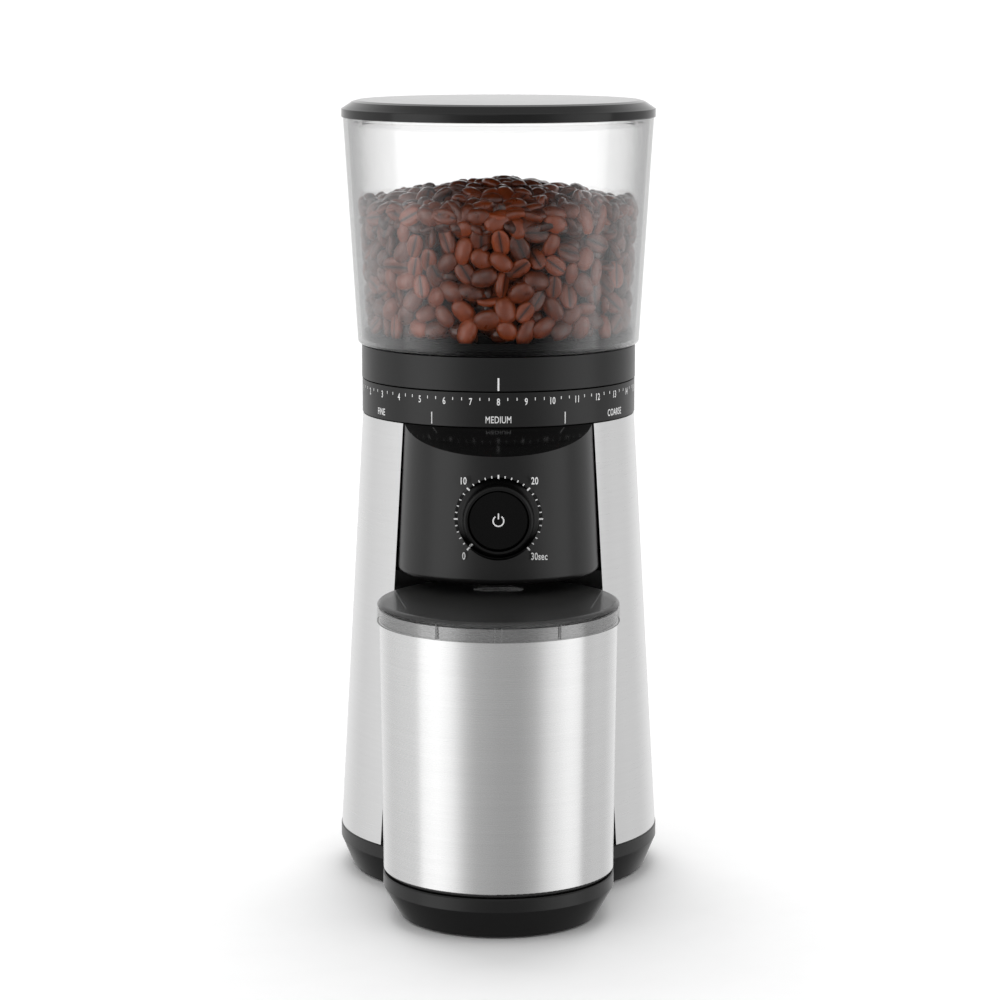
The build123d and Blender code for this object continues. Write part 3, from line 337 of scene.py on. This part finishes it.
ROUND_BRUSHING = (60.0, 60.0, 2600.0)
FINISHES = {
    "black_plastic": moulded("satin_black", grey(0.002), grey(0.0045), 0.3, 0.08),
    "gloss_black": moulded("gloss_black", grey(0.0015), grey(0.003), 0.12, 0.05, 300.0, 0.000006, 0.45),
    "body_steel": brushed("skirt_steel", grey(0.84), grey(1.0), 0.3, ROUND_BRUSHING, 0.7, 0.25),
    "cup_steel": brushed("cup_steel", grey(0.80), grey(1.0), 0.27, ROUND_BRUSHING, 0.7, 0.25),
    "clear_plastic": clear_wall("clear_wall", grey(0.985), grey(0.08), 0.004),
    "smoke_plastic": smoked(),
    "silicone": moulded("silicone_grey", grey(0.35), grey(0.45), 0.5, 0.15, 1500.0, 0.00002),
    "frame_plastic": moulded("glass_filled_nylon", grey(0.022), grey(0.05), 0.5, 0.2, 2500.0, 0.00005),
    "burr_steel": cut_metal("hardened_burr_steel", grey(0.36), grey(0.62), 0.3, 1300.0),
    "machined_steel": brushed("turned_steel", grey(0.5), grey(0.75), 0.25, (400.0, 400.0, 3000.0), 0.4),
    "gear_nylon": moulded("gear_nylon", (0.62, 0.58, 0.48, 1), (0.8, 0.77, 0.68, 1), 0.42, 0.15, 1200.0),
    "bronze": cut_metal("oiled_bronze", (0.3, 0.16, 0.06, 1), (0.62, 0.4, 0.18, 1), 0.34, 1600.0),
    "motor_shell": cut_metal("zinc_plated_shell", grey(0.45), grey(0.68), 0.34, 500.0),
    "ferrite": cut_metal("ferrite", grey(0.03), grey(0.08), 0.6, 1200.0, 0.3),
    "copper": wound_copper(),
    "carbon": cut_metal("brush_carbon", grey(0.012), grey(0.05), 0.55, 2200.0, 0.4),
    "circuit_board": board_lacquer(),
    "component_case": moulded("component_case", (0.02, 0.03, 0.06, 1), (0.05, 0.06, 0.1, 1), 0.35, 0.15,
                              900.0, 0.00002),
    "transformer_core": brushed("stacked_core", grey(0.1), grey(0.34), 0.45, ROUND_BRUSHING, 0.3,
                                relief=0.00006),
    "wire_cover": moulded("wire_cover", (0.35, 0.012, 0.01, 1), (0.5, 0.03, 0.02, 1), 0.4, 0.15, 1200.0),
    "screw_steel": cut_metal("screw_steel", grey(0.4), grey(0.62), 0.3, 1100.0),
    "foot_rubber": moulded("foot_rubber", grey(0.01), grey(0.025), 0.75, 0.15, 1800.0, 0.00006, 0.3),
}
BY_PIECE = {
    "dial_housing": housing_black(),
    "hopper_floor": moulded("floor_black", grey(0.0006), grey(0.0012), 0.5, 0.08, 700.0, 0.00001, 0.12),
    "start_button": moulded("button_black", grey(0.001), grey(0.002), 0.2, 0.08, 400.0, 0.000006, 0.16),
    "lid_gasket": clear_wall("clear_silicone", grey(0.985), grey(0.95), 0.004, 0.06),
    "lid_plug": clear_wall("clear_plug", grey(0.99), grey(0.97), 0.002, 0.05),
    "timer_knob": moulded("knob_black", grey(0.0015), grey(0.003), 0.3, 0.08, 9000.0, 0.00002, 0.3),
    "cup_foot": moulded("dark_silicone", grey(0.01), grey(0.02), 0.5, 0.15, 1500.0, 0.00002),
}
PRINT = ink("white_print", grey(0.72), grey(0.95))
# Lighter grey for thin lines on the dark cup lid: painted highlights along its creases and ribs.
LID_EDGE_HIGHLIGHT = moulded("lid_edge_highlight", grey(0.16), grey(0.24), 0.25, 0.1, 900.0, 0.00001)
ROASTED = roasted()
# Near black brown for the middle of the bean heap: painted shade for the beans deep inside.
HEAP_SHADE_BROWN = moulded("heap_shade_brown", (0.008, 0.003, 0.002, 1), (0.02, 0.008, 0.004, 1), 0.7, 0.2, 400.0, 0.0005)

SLOT_OF = {row["node"]: row["material_slot"] for row in frame["record"]["subparts"]}
for name, node in nodes.items():
    node.data.materials.clear()
    node.data.materials.append(BY_PIECE.get(name, FINISHES[SLOT_OF[name]]))


# ---------------------------------------------------------------- making pieces

def put(name, corners, faces, finish, body, smooth=False, marks=()):
    """A closed piece from corners and faces, riding on a body: corners that coincide are welded, so that seams
    and poles close, and every face is turned outwards. Marks are (name, value per corner), for its finish."""
    mesh = bpy.data.meshes.new(name)
    whole_faces = [tuple(int(k) for k in face) for face in faces]
    mesh.from_pydata(np.asarray(corners).reshape(-1, 3).tolist(), [], whole_faces)
    mesh.update()
    for title, values in marks:
        column = mesh.attributes.new(title, "FLOAT", "POINT")
        column.data.foreach_set("value", np.asarray(values, np.float32))
    solid = bmesh.new()
    solid.from_mesh(mesh)
    bmesh.ops.remove_doubles(solid, verts=solid.verts, dist=1e-7)
    bmesh.ops.recalc_face_normals(solid, faces=solid.faces)
    solid.to_mesh(mesh)
    solid.free()
    mesh.polygons.foreach_set("use_smooth", np.full(len(mesh.polygons), smooth))
    mesh.materials.append(finish)
    piece = bpy.data.objects.new(name, mesh)
    bpy.context.scene.collection.objects.link(piece)
    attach(piece, body)


def net(rows, columns):
    """Quads joining a grid of corners, row by row; the last column is joined to the first."""
    i, j = np.meshgrid(np.arange(rows - 1), np.arange(columns), indexing="ij")
    beside = (j + 1) % columns
    quads = [i * columns + j, i * columns + beside, (i + 1) * columns + beside, (i + 1) * columns + j]
    return np.stack(quads, -1).reshape(-1, 4)


def bar_faces(rows):
    """Faces of a bar with four corners in each row: its sides, and a cap at each end."""
    return [*net(rows, 4), (0, 1, 2, 3), tuple(range(4 * rows - 1, 4 * rows - 5, -1))]


def gather(parts):
    """Several (corners, faces) joined as one."""
    corners, faces, start = [], [], 0
    for part_corners, part_faces in parts:
        corners.append(part_corners)
        faces += [tuple(int(k) + start for k in face) for face in part_faces]
        start += len(part_corners)
    return np.concatenate(corners), faces


# ---------------------------------------------------------------- print and raised lines
# Each is drawn flat first, as corners (x, z, depth) with depth out of the surface, then laid on its piece.

PROUD = 0.05 * MM
SUNK = 0.12 * MM


def slabs(x, z, wide, tall, lean=0.0, proud=PROUD, sunk=SUNK):
    """Thin bars: each is a box of the given width and height centred at x, z, turned by lean, from sunk below
    the surface to proud of it."""
    x, z, wide, tall, lean = np.broadcast_arrays(*(np.asarray(v, float) for v in (x, z, wide, tall, lean)))
    across = np.array([-1, 1, 1, -1, -1, 1, 1, -1]) / 2 * wide[:, None]
    along = np.array([-1, -1, 1, 1, -1, -1, 1, 1]) / 2 * tall[:, None]
    depth = np.broadcast_to([-sunk] * 4 + [proud] * 4, across.shape)
    c, s = np.cos(lean)[:, None], np.sin(lean)[:, None]
    corners = np.stack([x[:, None] + across * c - along * s, z[:, None] + across * s + along * c, depth], -1)
    box = np.array([[0, 3, 2, 1], [4, 5, 6, 7], [0, 1, 5, 4], [1, 2, 6, 5], [2, 3, 7, 6], [3, 0, 4, 7]])
    faces = np.arange(len(x))[:, None, None] * 8 + box[None]
    return corners.reshape(-1, 3), faces.reshape(-1, 4)


def letters(text, x, z, tall, condense=0.68, weight=0.014):
    """A printed word centred at x, z: cap height tall, width times condense, strokes fatter by weight."""
    cap_share = 0.729  # cap height of the typeface at size 1
    curve = bpy.data.curves.new("word", "FONT")
    curve.body = text
    curve.bevel_depth = weight
    curve.bevel_resolution = 0
    curve.extrude = 0.5
    curve.resolution_u = 6
    curve.space_character = 1.06
    holder = bpy.data.objects.new("word", curve)
    bpy.context.scene.collection.objects.link(holder)
    bpy.context.view_layer.update()
    mesh = bpy.data.meshes.new_from_object(holder.evaluated_get(bpy.context.evaluated_depsgraph_get()))
    bpy.data.objects.remove(holder)
    at = np.array([corner.co for corner in mesh.vertices])
    faces = [tuple(face.vertices) for face in mesh.polygons]
    bpy.data.meshes.remove(mesh)
    size = tall / cap_share
    across = (at[:, 0] - (at[:, 0].min() + at[:, 0].max()) / 2) * size * condense
    up = (at[:, 1] - cap_share / 2) * size
    return np.stack([x + across, z + up, np.where(at[:, 2] > 0, PROUD, -SUNK)], -1), faces


def wrapped(drawing, radius, base_z, axis_y=AXIS_Y):
    """Flat drawing to an upright cylinder: x runs round its front, z up from base_z, depth outwards."""
    x, z, depth = drawing.T
    turn = x / radius
    r = radius + depth
    return np.stack([r * np.sin(turn), axis_y - r * np.cos(turn), base_z + z], -1)


def on_dial(drawing, face_y):
    """Flat drawing to the dial face: x right, z up from the knob's centre, depth towards the front."""
    x, z, depth = drawing.T
    return np.stack([KNOB[0] + x, face_y - depth, KNOB[2] + z], -1)


def grind_scale():
    """Scale of the fixed ring, down from its top edge: numbers 1 to 15 with two ticks between neighbours, then
    the three words with a divider between neighbours."""
    step = math.radians(11.35) * RING_R
    number_z, tick_z, word_z, divider_z = -4.6 * MM, -3.4 * MM, -13.9 * MM, -14.0 * MM
    drawing = [letters(str(number), (number - 8) * step, number_z, 3.7 * MM) for number in range(1, 16)]
    ticks = np.array([k for k in range(-21, 22) if k % 3]) * step / 3
    drawing.append(slabs(ticks, tick_z, 0.42 * MM, 1.5 * MM))
    drawing.append(slabs(np.radians([-28.3, 28.3]) * RING_R, divider_z, 0.55 * MM, 6.2 * MM))
    for word, turn in (("FINE", -57.5), ("MEDIUM", 0.0), ("COARSE", 57.0)):
        drawing.append(letters(word, math.radians(turn) * RING_R, word_z, 3.7 * MM, 0.69, 0.01))
    return gather(drawing)


def timer_scale():
    """Scale round the knob: 31 ticks, each 9 degrees clockwise from lower left, every fifth longer, and four
    labels."""
    ticks_r = 21.75 * MM
    turns = np.radians(225.0 - 9.0 * np.arange(31))
    fifth = np.arange(31) % 5 == 0
    drawing = [slabs(ticks_r * np.cos(turns), ticks_r * np.sin(turns), np.where(fifth, 2.0, 1.2) * MM,
                     np.where(fifth, 0.85, 0.55) * MM, turns)]
    for word, x, z in (("0", -17.7, -19.0), ("10", -17.7, 19.8), ("20", 18.5, 19.8), ("30sec", 20.9, -19.2)):
        drawing.append(letters(word, x * MM, z * MM, 3.8 * MM))
    return gather(drawing)


def start_mark():
    """Start symbol: a band between two circles, open over 70 degrees at the top, round a short bar."""
    rows = 49
    sweep = np.radians(np.linspace(125, 415, rows))
    inner, outer = 2.35 * MM, 3.05 * MM
    edges = ((inner, PROUD), (outer, PROUD), (outer, -SUNK), (inner, -SUNK))
    band = np.stack([np.stack([r * np.cos(sweep), r * np.sin(sweep), np.full(rows, depth)], -1)
                     for r, depth in edges], 1)
    bar = slabs(np.zeros(1), 2.4 * MM, 0.7 * MM, 2.9 * MM)
    return gather([(band.reshape(-1, 3), bar_faces(rows)), bar])


def pointer_strip():
    """Pointer on the knob's flare: a strip along the parabola through three points of the flare, each a
    distance from the knob's axis and a depth from its back, a little proud, and turned to the zero tick."""
    rows = 7
    along = np.linspace(0, 1, rows)
    flare = np.array([[17.75, -6.9], [18.62, -3.3], [20.8, -0.85]]) * MM
    weights = [2 * (along - 0.5) * (along - 1), -4 * along * (along - 1), 2 * along * (along - 0.5)]
    flare_r, flare_y = (np.stack(weights, -1) @ flare).T
    lift = 0.1 * MM
    half = np.full(rows, 0.55 * MM)
    over = flare_r + lift, flare_y - lift
    under = flare_r - 3 * lift, flare_y + 3 * lift
    edges = ((over, -half), (over, half), (under, half), (under, -half))
    strip = np.stack([np.stack([r, side, y], -1) for (r, y), side in edges], 1)
    r, side, y = strip.reshape(-1, 3).T
    c, s = math.cos(math.radians(225)), math.sin(math.radians(225))
    back_y = high("timer_knob")[1]
    corners = np.stack([KNOB[0] + r * c - side * s, back_y + y, KNOB[2] + r * s + side * c], -1)
    return corners, bar_faces(rows)


def lid_top_creases():
    """Two creases of the cup lid's top, left and right alike, drawn as thin lighter grey lines that are
    painted highlights along the creases' edges: each a straight line from beside the dial housing towards the
    front, centred between two points and 88 percent as long as the way between them."""
    start, stop = np.array([54.2, AXIS_Y / MM - 74.6]) * MM, np.array([46.0, AXIS_Y / MM - 132.0]) * MM
    middle = (start + stop) / 2
    turn = math.atan2(stop[1] - start[1], stop[0] - start[0])
    long = float(np.linalg.norm(stop - start)) * 0.88
    corners, faces = slabs(np.array([middle[0], -middle[0]]), middle[1], long, 0.3 * MM,
                           np.array([turn, math.pi - turn]), 0.02 * MM, 0.3 * MM)
    return corners + [0, 0, high("cup_lid")[2]], faces


def lid_rim_ribs():
    """Four short upright ribs of the cup lid's rim, drawn as thin lighter grey lines that are painted
    highlights on the ribs: a close pair in front and one to each side.
    """
    turns = np.arcsin(np.array([-31.0, -1.7, 1.7, 31.0]) * MM / LID_R)
    corners, faces = slabs(turns * LID_R, 0.0, 0.35 * MM, 7.4 * MM, 0.0, 0.015 * MM, 0.6 * MM)
    return wrapped(corners, LID_R, low("cup_lid")[2] + 4.0 * MM, CUP_Y), faces


corners, faces = grind_scale()
put("scale_print", wrapped(corners, RING_R, RING_TOP), faces, PRINT, "grinder_body")
corners, faces = slabs(np.zeros(1), 0.0, 0.9 * MM, 6.6 * MM)
put("ring_pointer", wrapped(corners, GRIP_R, RING_TOP + 4.3 * MM), faces, PRINT, "adjusting_ring")
corners, faces = timer_scale()
put("dial_print", on_dial(corners, low("dial_housing")[1] + 1.6 * MM), faces, PRINT, "grinder_body")
put("knob_pointer", *pointer_strip(), PRINT, "timer_knob")
corners, faces = start_mark()
put("start_symbol", on_dial(corners, low("start_button")[1]), faces, PRINT, "start_button")
put("lid_crease_highlights", *lid_top_creases(), LID_EDGE_HIGHLIGHT, "cup_lid")
put("lid_rib_highlights", *lid_rim_ribs(), LID_EDGE_HIGHLIGHT, "cup_lid")

# ---------------------------------------------------------------- beans

seed = np.random.default_rng(7)
BEAN = np.array([7.3, 5.35, 4.0]) * MM  # half length, half width, half thickness
BEANS_LOW = high("hopper_floor")[2] + 5.7 * MM
HEAP_WALL, HEAP_TOP = 356.0 * MM, 369.4 * MM
HEAP_R = 74 * MM  # where the heap is down to HEAP_WALL
WALL_LOW_R, WALL_HIGH_R, WALL_THICK = 74.9 * MM, 82.3 * MM, 2.2 * MM
CLEAR_OF_WALL = 2.4 * MM


def bean_shape():
    """One bean: an ellipse turned about its length, domed above, flat below, with a groove pushed in along the
    middle of the flat side. Rows run tip to tip, columns round the bean; the groove is the lowest column."""
    rows, columns = 8, 12
    tip = np.linspace(0, math.pi, rows)
    turn = math.radians(-90) + np.linspace(0, TAU, columns, endpoint=False)
    s, t = np.meshgrid(tip, turn, indexing="ij")
    fat = np.sin(s) ** 0.82
    y = fat * np.cos(t) * (1 + 0.06 * np.sin(t))
    z = fat * np.sin(t) * np.where(np.sin(t) < 0, 0.52, 1.0)
    groove = np.isclose(t, turn[0])
    z = np.where(groove, z + 0.42 * fat ** 2, z)
    return np.stack([np.cos(s), y, z], -1).reshape(-1, 3) * BEAN, net(rows, columns), groove.reshape(-1)


def spread_out(points, span, gap, wrap=None):
    """Points pushed apart until they keep a gap: each round moves a point away from every nearer one. The
    second number stays within the span; with wrap, the first runs round and round."""
    for _ in range(70):
        apart = points[:, None] - points[None]
        if wrap:
            apart[..., 0] -= wrap * np.round(apart[..., 0] / wrap)
        far = np.linalg.norm(apart, axis=-1) + 1e-9
        push = np.clip(gap - far, 0, None) / far
        np.fill_diagonal(push, 0)
        points = points + 0.32 * (apart * push[..., None]).sum(1)
        points[:, 1] = np.clip(points[:, 1], *span)
        if wrap:
            points[:, 0] %= wrap
    return points


def bean_turns(outward, flip_share, tilt):
    """Turning matrices whose third axis is near outward, or against it for flipped beans; the long axis is
    random."""
    n = len(outward)
    third = outward * np.where(seed.random(n) < flip_share, -1.0, 1.0)[:, None] + seed.normal(0, tilt, (n, 3))
    third /= np.linalg.norm(third, axis=1)[:, None]
    first = np.cross(third, seed.normal(0, 1, (n, 3)))
    first /= np.linalg.norm(first, axis=1)[:, None]
    return np.stack([first, np.cross(third, first), third], -1)


def inner_wall(z):
    """Inside radius of the hopper's wall at a height: its cone less the wall's thickness."""
    foot, rim = low("hopper")[2], high("hopper")[2]
    return WALL_LOW_R + (WALL_HIGH_R - WALL_LOW_R) * (z - foot) / (rim - foot) - WALL_THICK


def lay_beans(name, centres, outward, flip_share, tilt, depth_shade_scale):
    """One piece of many beans: the bean's corners turned and moved to every centre, each bean then drawn in
    until it is clear of the wall. Each bean's random tone is scaled by the last argument, below 1 for beans
    deeper in the heap: painted shade."""
    n = len(centres)
    turned = bean_turns(outward, flip_share, tilt)
    # Random tone times the last argument: beans deeper in the heap are dimmed, as painted shade.
    roast_and_depth_shade = seed.beta(2.0, 2.2, n) * depth_shade_scale
    shape, faces, groove = bean_shape()
    size = seed.uniform(0.86, 1.1, (n, 1, 1)) * (1 + seed.normal(0, 0.04, (n, 1, 3)))
    corners = np.einsum("nij,nkj->nki", turned, shape[None] * size) + centres[:, None]
    reach = np.linalg.norm(corners[..., :2] - [0, AXIS_Y], axis=-1)
    over = np.clip((reach - inner_wall(corners[..., 2]) + CLEAR_OF_WALL).max(1), 0, None)
    middle = centres[:, :2] - [0, AXIS_Y]
    inward = middle / np.linalg.norm(middle, axis=1)[:, None]
    corners[..., :2] -= (inward * over[:, None])[:, None]
    whole = (np.arange(n)[:, None, None] * len(shape) + faces[None]).reshape(-1, 4)
    marks = (("roast_and_depth_shade", np.repeat(roast_and_depth_shade, len(shape))), ("crease_shade", np.tile(groove, n)))
    put(name, corners, whole, ROASTED, "hopper", True, marks)


def wall_layer(name, inset, gap, flip_share, tilt, depth_shade_scale):
    """Beans against the wall: spread out on the unrolled wall, then rolled up round the burr axis."""
    around = TAU * 72 * MM
    tall = HEAP_WALL - BEANS_LOW
    count = int(around * tall / (gap ** 2 * 0.86))
    flat = np.stack([seed.uniform(0, around, count), seed.uniform(BEANS_LOW, HEAP_WALL, count)], -1)
    flat = spread_out(flat, (BEANS_LOW, HEAP_WALL), gap, around)
    turn = flat[:, 0] / around * TAU
    z = flat[:, 1] + seed.normal(0, 0.4 * MM, count)
    r = inner_wall(z) - inset - np.abs(seed.normal(0, 2.2 * MM, count))
    outward = np.stack([np.sin(turn), -np.cos(turn), np.zeros(count)], -1)
    centres = np.stack([r * outward[:, 0], AXIS_Y + r * outward[:, 1], z], -1)
    lay_beans(name, centres, outward, flip_share, tilt, depth_shade_scale)


def top_layer(name, drop, depth_shade_scale):
    """Beans on the heap, or drop below its top: spread out on a disc, then lifted on to a low dome whose
    height falls by the distance from the burr axis to the power one and a half."""
    edge_r, bean_r, gap = 73 * MM, 68 * MM, 9.7 * MM
    count = int(math.pi * edge_r ** 2 / (gap ** 2 * 0.8))
    away = edge_r * np.sqrt(seed.random(count))
    turn = seed.uniform(0, TAU, count)
    flat = spread_out(np.stack([away * np.cos(turn), away * np.sin(turn)], -1), (-edge_r, edge_r), gap)
    flat *= np.minimum(1.0, bean_r / np.maximum(np.linalg.norm(flat, axis=1), 1e-6))[:, None]
    outward = np.concatenate([flat / (150 * MM), np.ones((count, 1))], 1)
    outward /= np.linalg.norm(outward, axis=1)[:, None]
    dome = HEAP_TOP - (HEAP_TOP - HEAP_WALL) * (np.linalg.norm(flat, axis=1) / HEAP_R) ** 1.5
    z = dome - drop - np.abs(seed.normal(0, 1.2 * MM, count))
    lay_beans(name, np.concatenate([flat + [0, AXIS_Y], z[:, None]], 1), outward, 0.35, 0.4, depth_shade_scale)


def heap_middle():
    """Dark middle of the heap, painted shade standing in for the shaded beans deep inside, so that no daylight
    shows between beans:
    an outline of distance from the burr axis and height, turned all the way round the axis, with a pole at
    each end."""
    columns = 48
    outline = np.array([[0, BEANS_LOW - 3 * MM], [60 * MM, BEANS_LOW - 3 * MM], [61 * MM, 330 * MM],
                        [62 * MM, 352 * MM], [40 * MM, 360 * MM], [0, 366 * MM]])
    turn = np.linspace(0, TAU, columns, endpoint=False)
    r, z = outline[:, :1], outline[:, 1:]
    corners = np.stack([r * np.sin(turn), AXIS_Y - r * np.cos(turn), np.repeat(z, columns, 1)], -1)
    return corners, net(len(outline), columns)


# The front layers keep their full tone. The layers behind and under them get 0.3 of it, painted shade for
# beans deeper in the heap.
wall_layer("beans_wall", 4.0 * MM, 10.9 * MM, 0.45, 0.35, 1.0)
wall_layer("beans_behind", 11.4 * MM, 10.4 * MM, 0.4, 0.6, 0.3)
top_layer("beans_top", 0.0, 1.0)
top_layer("beans_under", 5.6 * MM, 0.3)
put("heap_shade_core", *heap_middle(), HEAP_SHADE_BROWN, "hopper", True)

# ---------------------------------------------------------------- stage

camera_data = bpy.data.cameras.new("camera")
camera_data.lens = 120.28
camera_data.sensor_width = 36.0
camera = bpy.data.objects.new("camera", camera_data)
camera.location = (0.0008, -1.73785, 0.4802)
camera.rotation_euler = (math.radians(81.01), 0.0, 0.0)
bpy.context.scene.collection.objects.link(camera)
bpy.context.scene.camera = camera

floor_mesh = bpy.data.meshes.new("floor")
floor_mesh.from_pydata([(-40, -40, 0), (40, -40, 0), (40, 40, 0), (-40, 40, 0)], [], [(0, 1, 2, 3)])
floor = bpy.data.objects.new("floor", floor_mesh)
bpy.context.scene.collection.objects.link(floor)
paper = Finish("paper_floor", Roughness=0.9, Specular_IOR_Level=0.05)
fibre = paper.noise(40.0, 4.0)
floor_mesh.materials.append(paper.dress(Base_Color=paper.between(fibre, grey(0.93), grey(0.96))))
floor.visible_glossy = False

# The ring of light round the object, from behind on the left, past the camera in the middle, to behind on the
# right. Above it the light is even, and low down it fades, as over a dark floor.
RING_PEAK = 1.5
RING_STOPS = [(0.0, 0.95), (0.07, 0.8), (0.14, 0.66), (0.2, 0.74), (0.265, 0.80), (0.272, 1.25), (0.33, 1.4),
              (0.37, 1.2), (0.41, 0.66), (0.44, 0.48), (0.5, 0.41), (0.56, 0.40), (0.6, 0.52), (0.64, 0.9),
              (0.70, 1.2), (0.745, 1.1), (0.753, 0.57), (0.8, 0.66), (0.86, 0.62), (0.93, 0.8), (1.0, 0.95)]
world = bpy.data.worlds.new("studio")
world.use_nodes = True
bpy.context.scene.world = world
studio = Tree(world.node_tree, "ShaderNodeOutputWorld")
way = studio.add("ShaderNodeTexCoord", {}, {}, "Generated")
x, y, height = (studio.axis(way, letter) for letter in "XYZ")
turn = x.maths("ARCTAN2", x, y * -1.0)
ring_light = studio.ramp(turn * (1 / TAU) + 0.5, [(where, shade / RING_PEAK) for where, shade in RING_STOPS])
mirrored = studio.add("ShaderNodeLightPath", {}, {}, "Is Glossy Ray")
seen = studio.add("ShaderNodeLightPath", {}, {}, "Is Camera Ray")
above_floor = studio.rise(height, -0.6, -0.22)
overhead = studio.rise(height, 0.35, 0.85)
lit = studio.between(above_floor, grey(0.12), ring_light)
lit = studio.between(overhead, lit, studio.between(mirrored, grey(0.52), grey(0.3)))
shown = studio.between(seen, lit, grey(1.0))
studio.show(studio.add("ShaderNodeBackground", {}, {"Color": shown, "Strength": RING_PEAK}, "Background"))
bpy.context.scene.view_settings.view_transform = "Standard"
bpy.context.scene.view_settings.look = "None"


def lamp(name, kind, watts, shining):
    """A lamp of that kind and strength, shining along a direction. Gives the lamp's object and its data."""
    data = bpy.data.lights.new(name, kind)
    data.energy = watts
    holder = bpy.data.objects.new(name, data)
    holder.rotation_euler = Vector(shining).to_track_quat("-Z", "Y").to_euler()
    bpy.context.scene.collection.objects.link(holder)
    return holder, data


sun, sun_data = lamp("back_sun", "SUN", 1.5, (0.03, -0.72, -1.0))
sun_data.angle = math.radians(50)
sun.visible_glossy = False
front, front_data = lamp("front_lamp", "AREA", 2.0, (0.45, 1.6, -1.2))
front_data.size = 1.0
front.location = (-0.45, -1.6, 1.5)
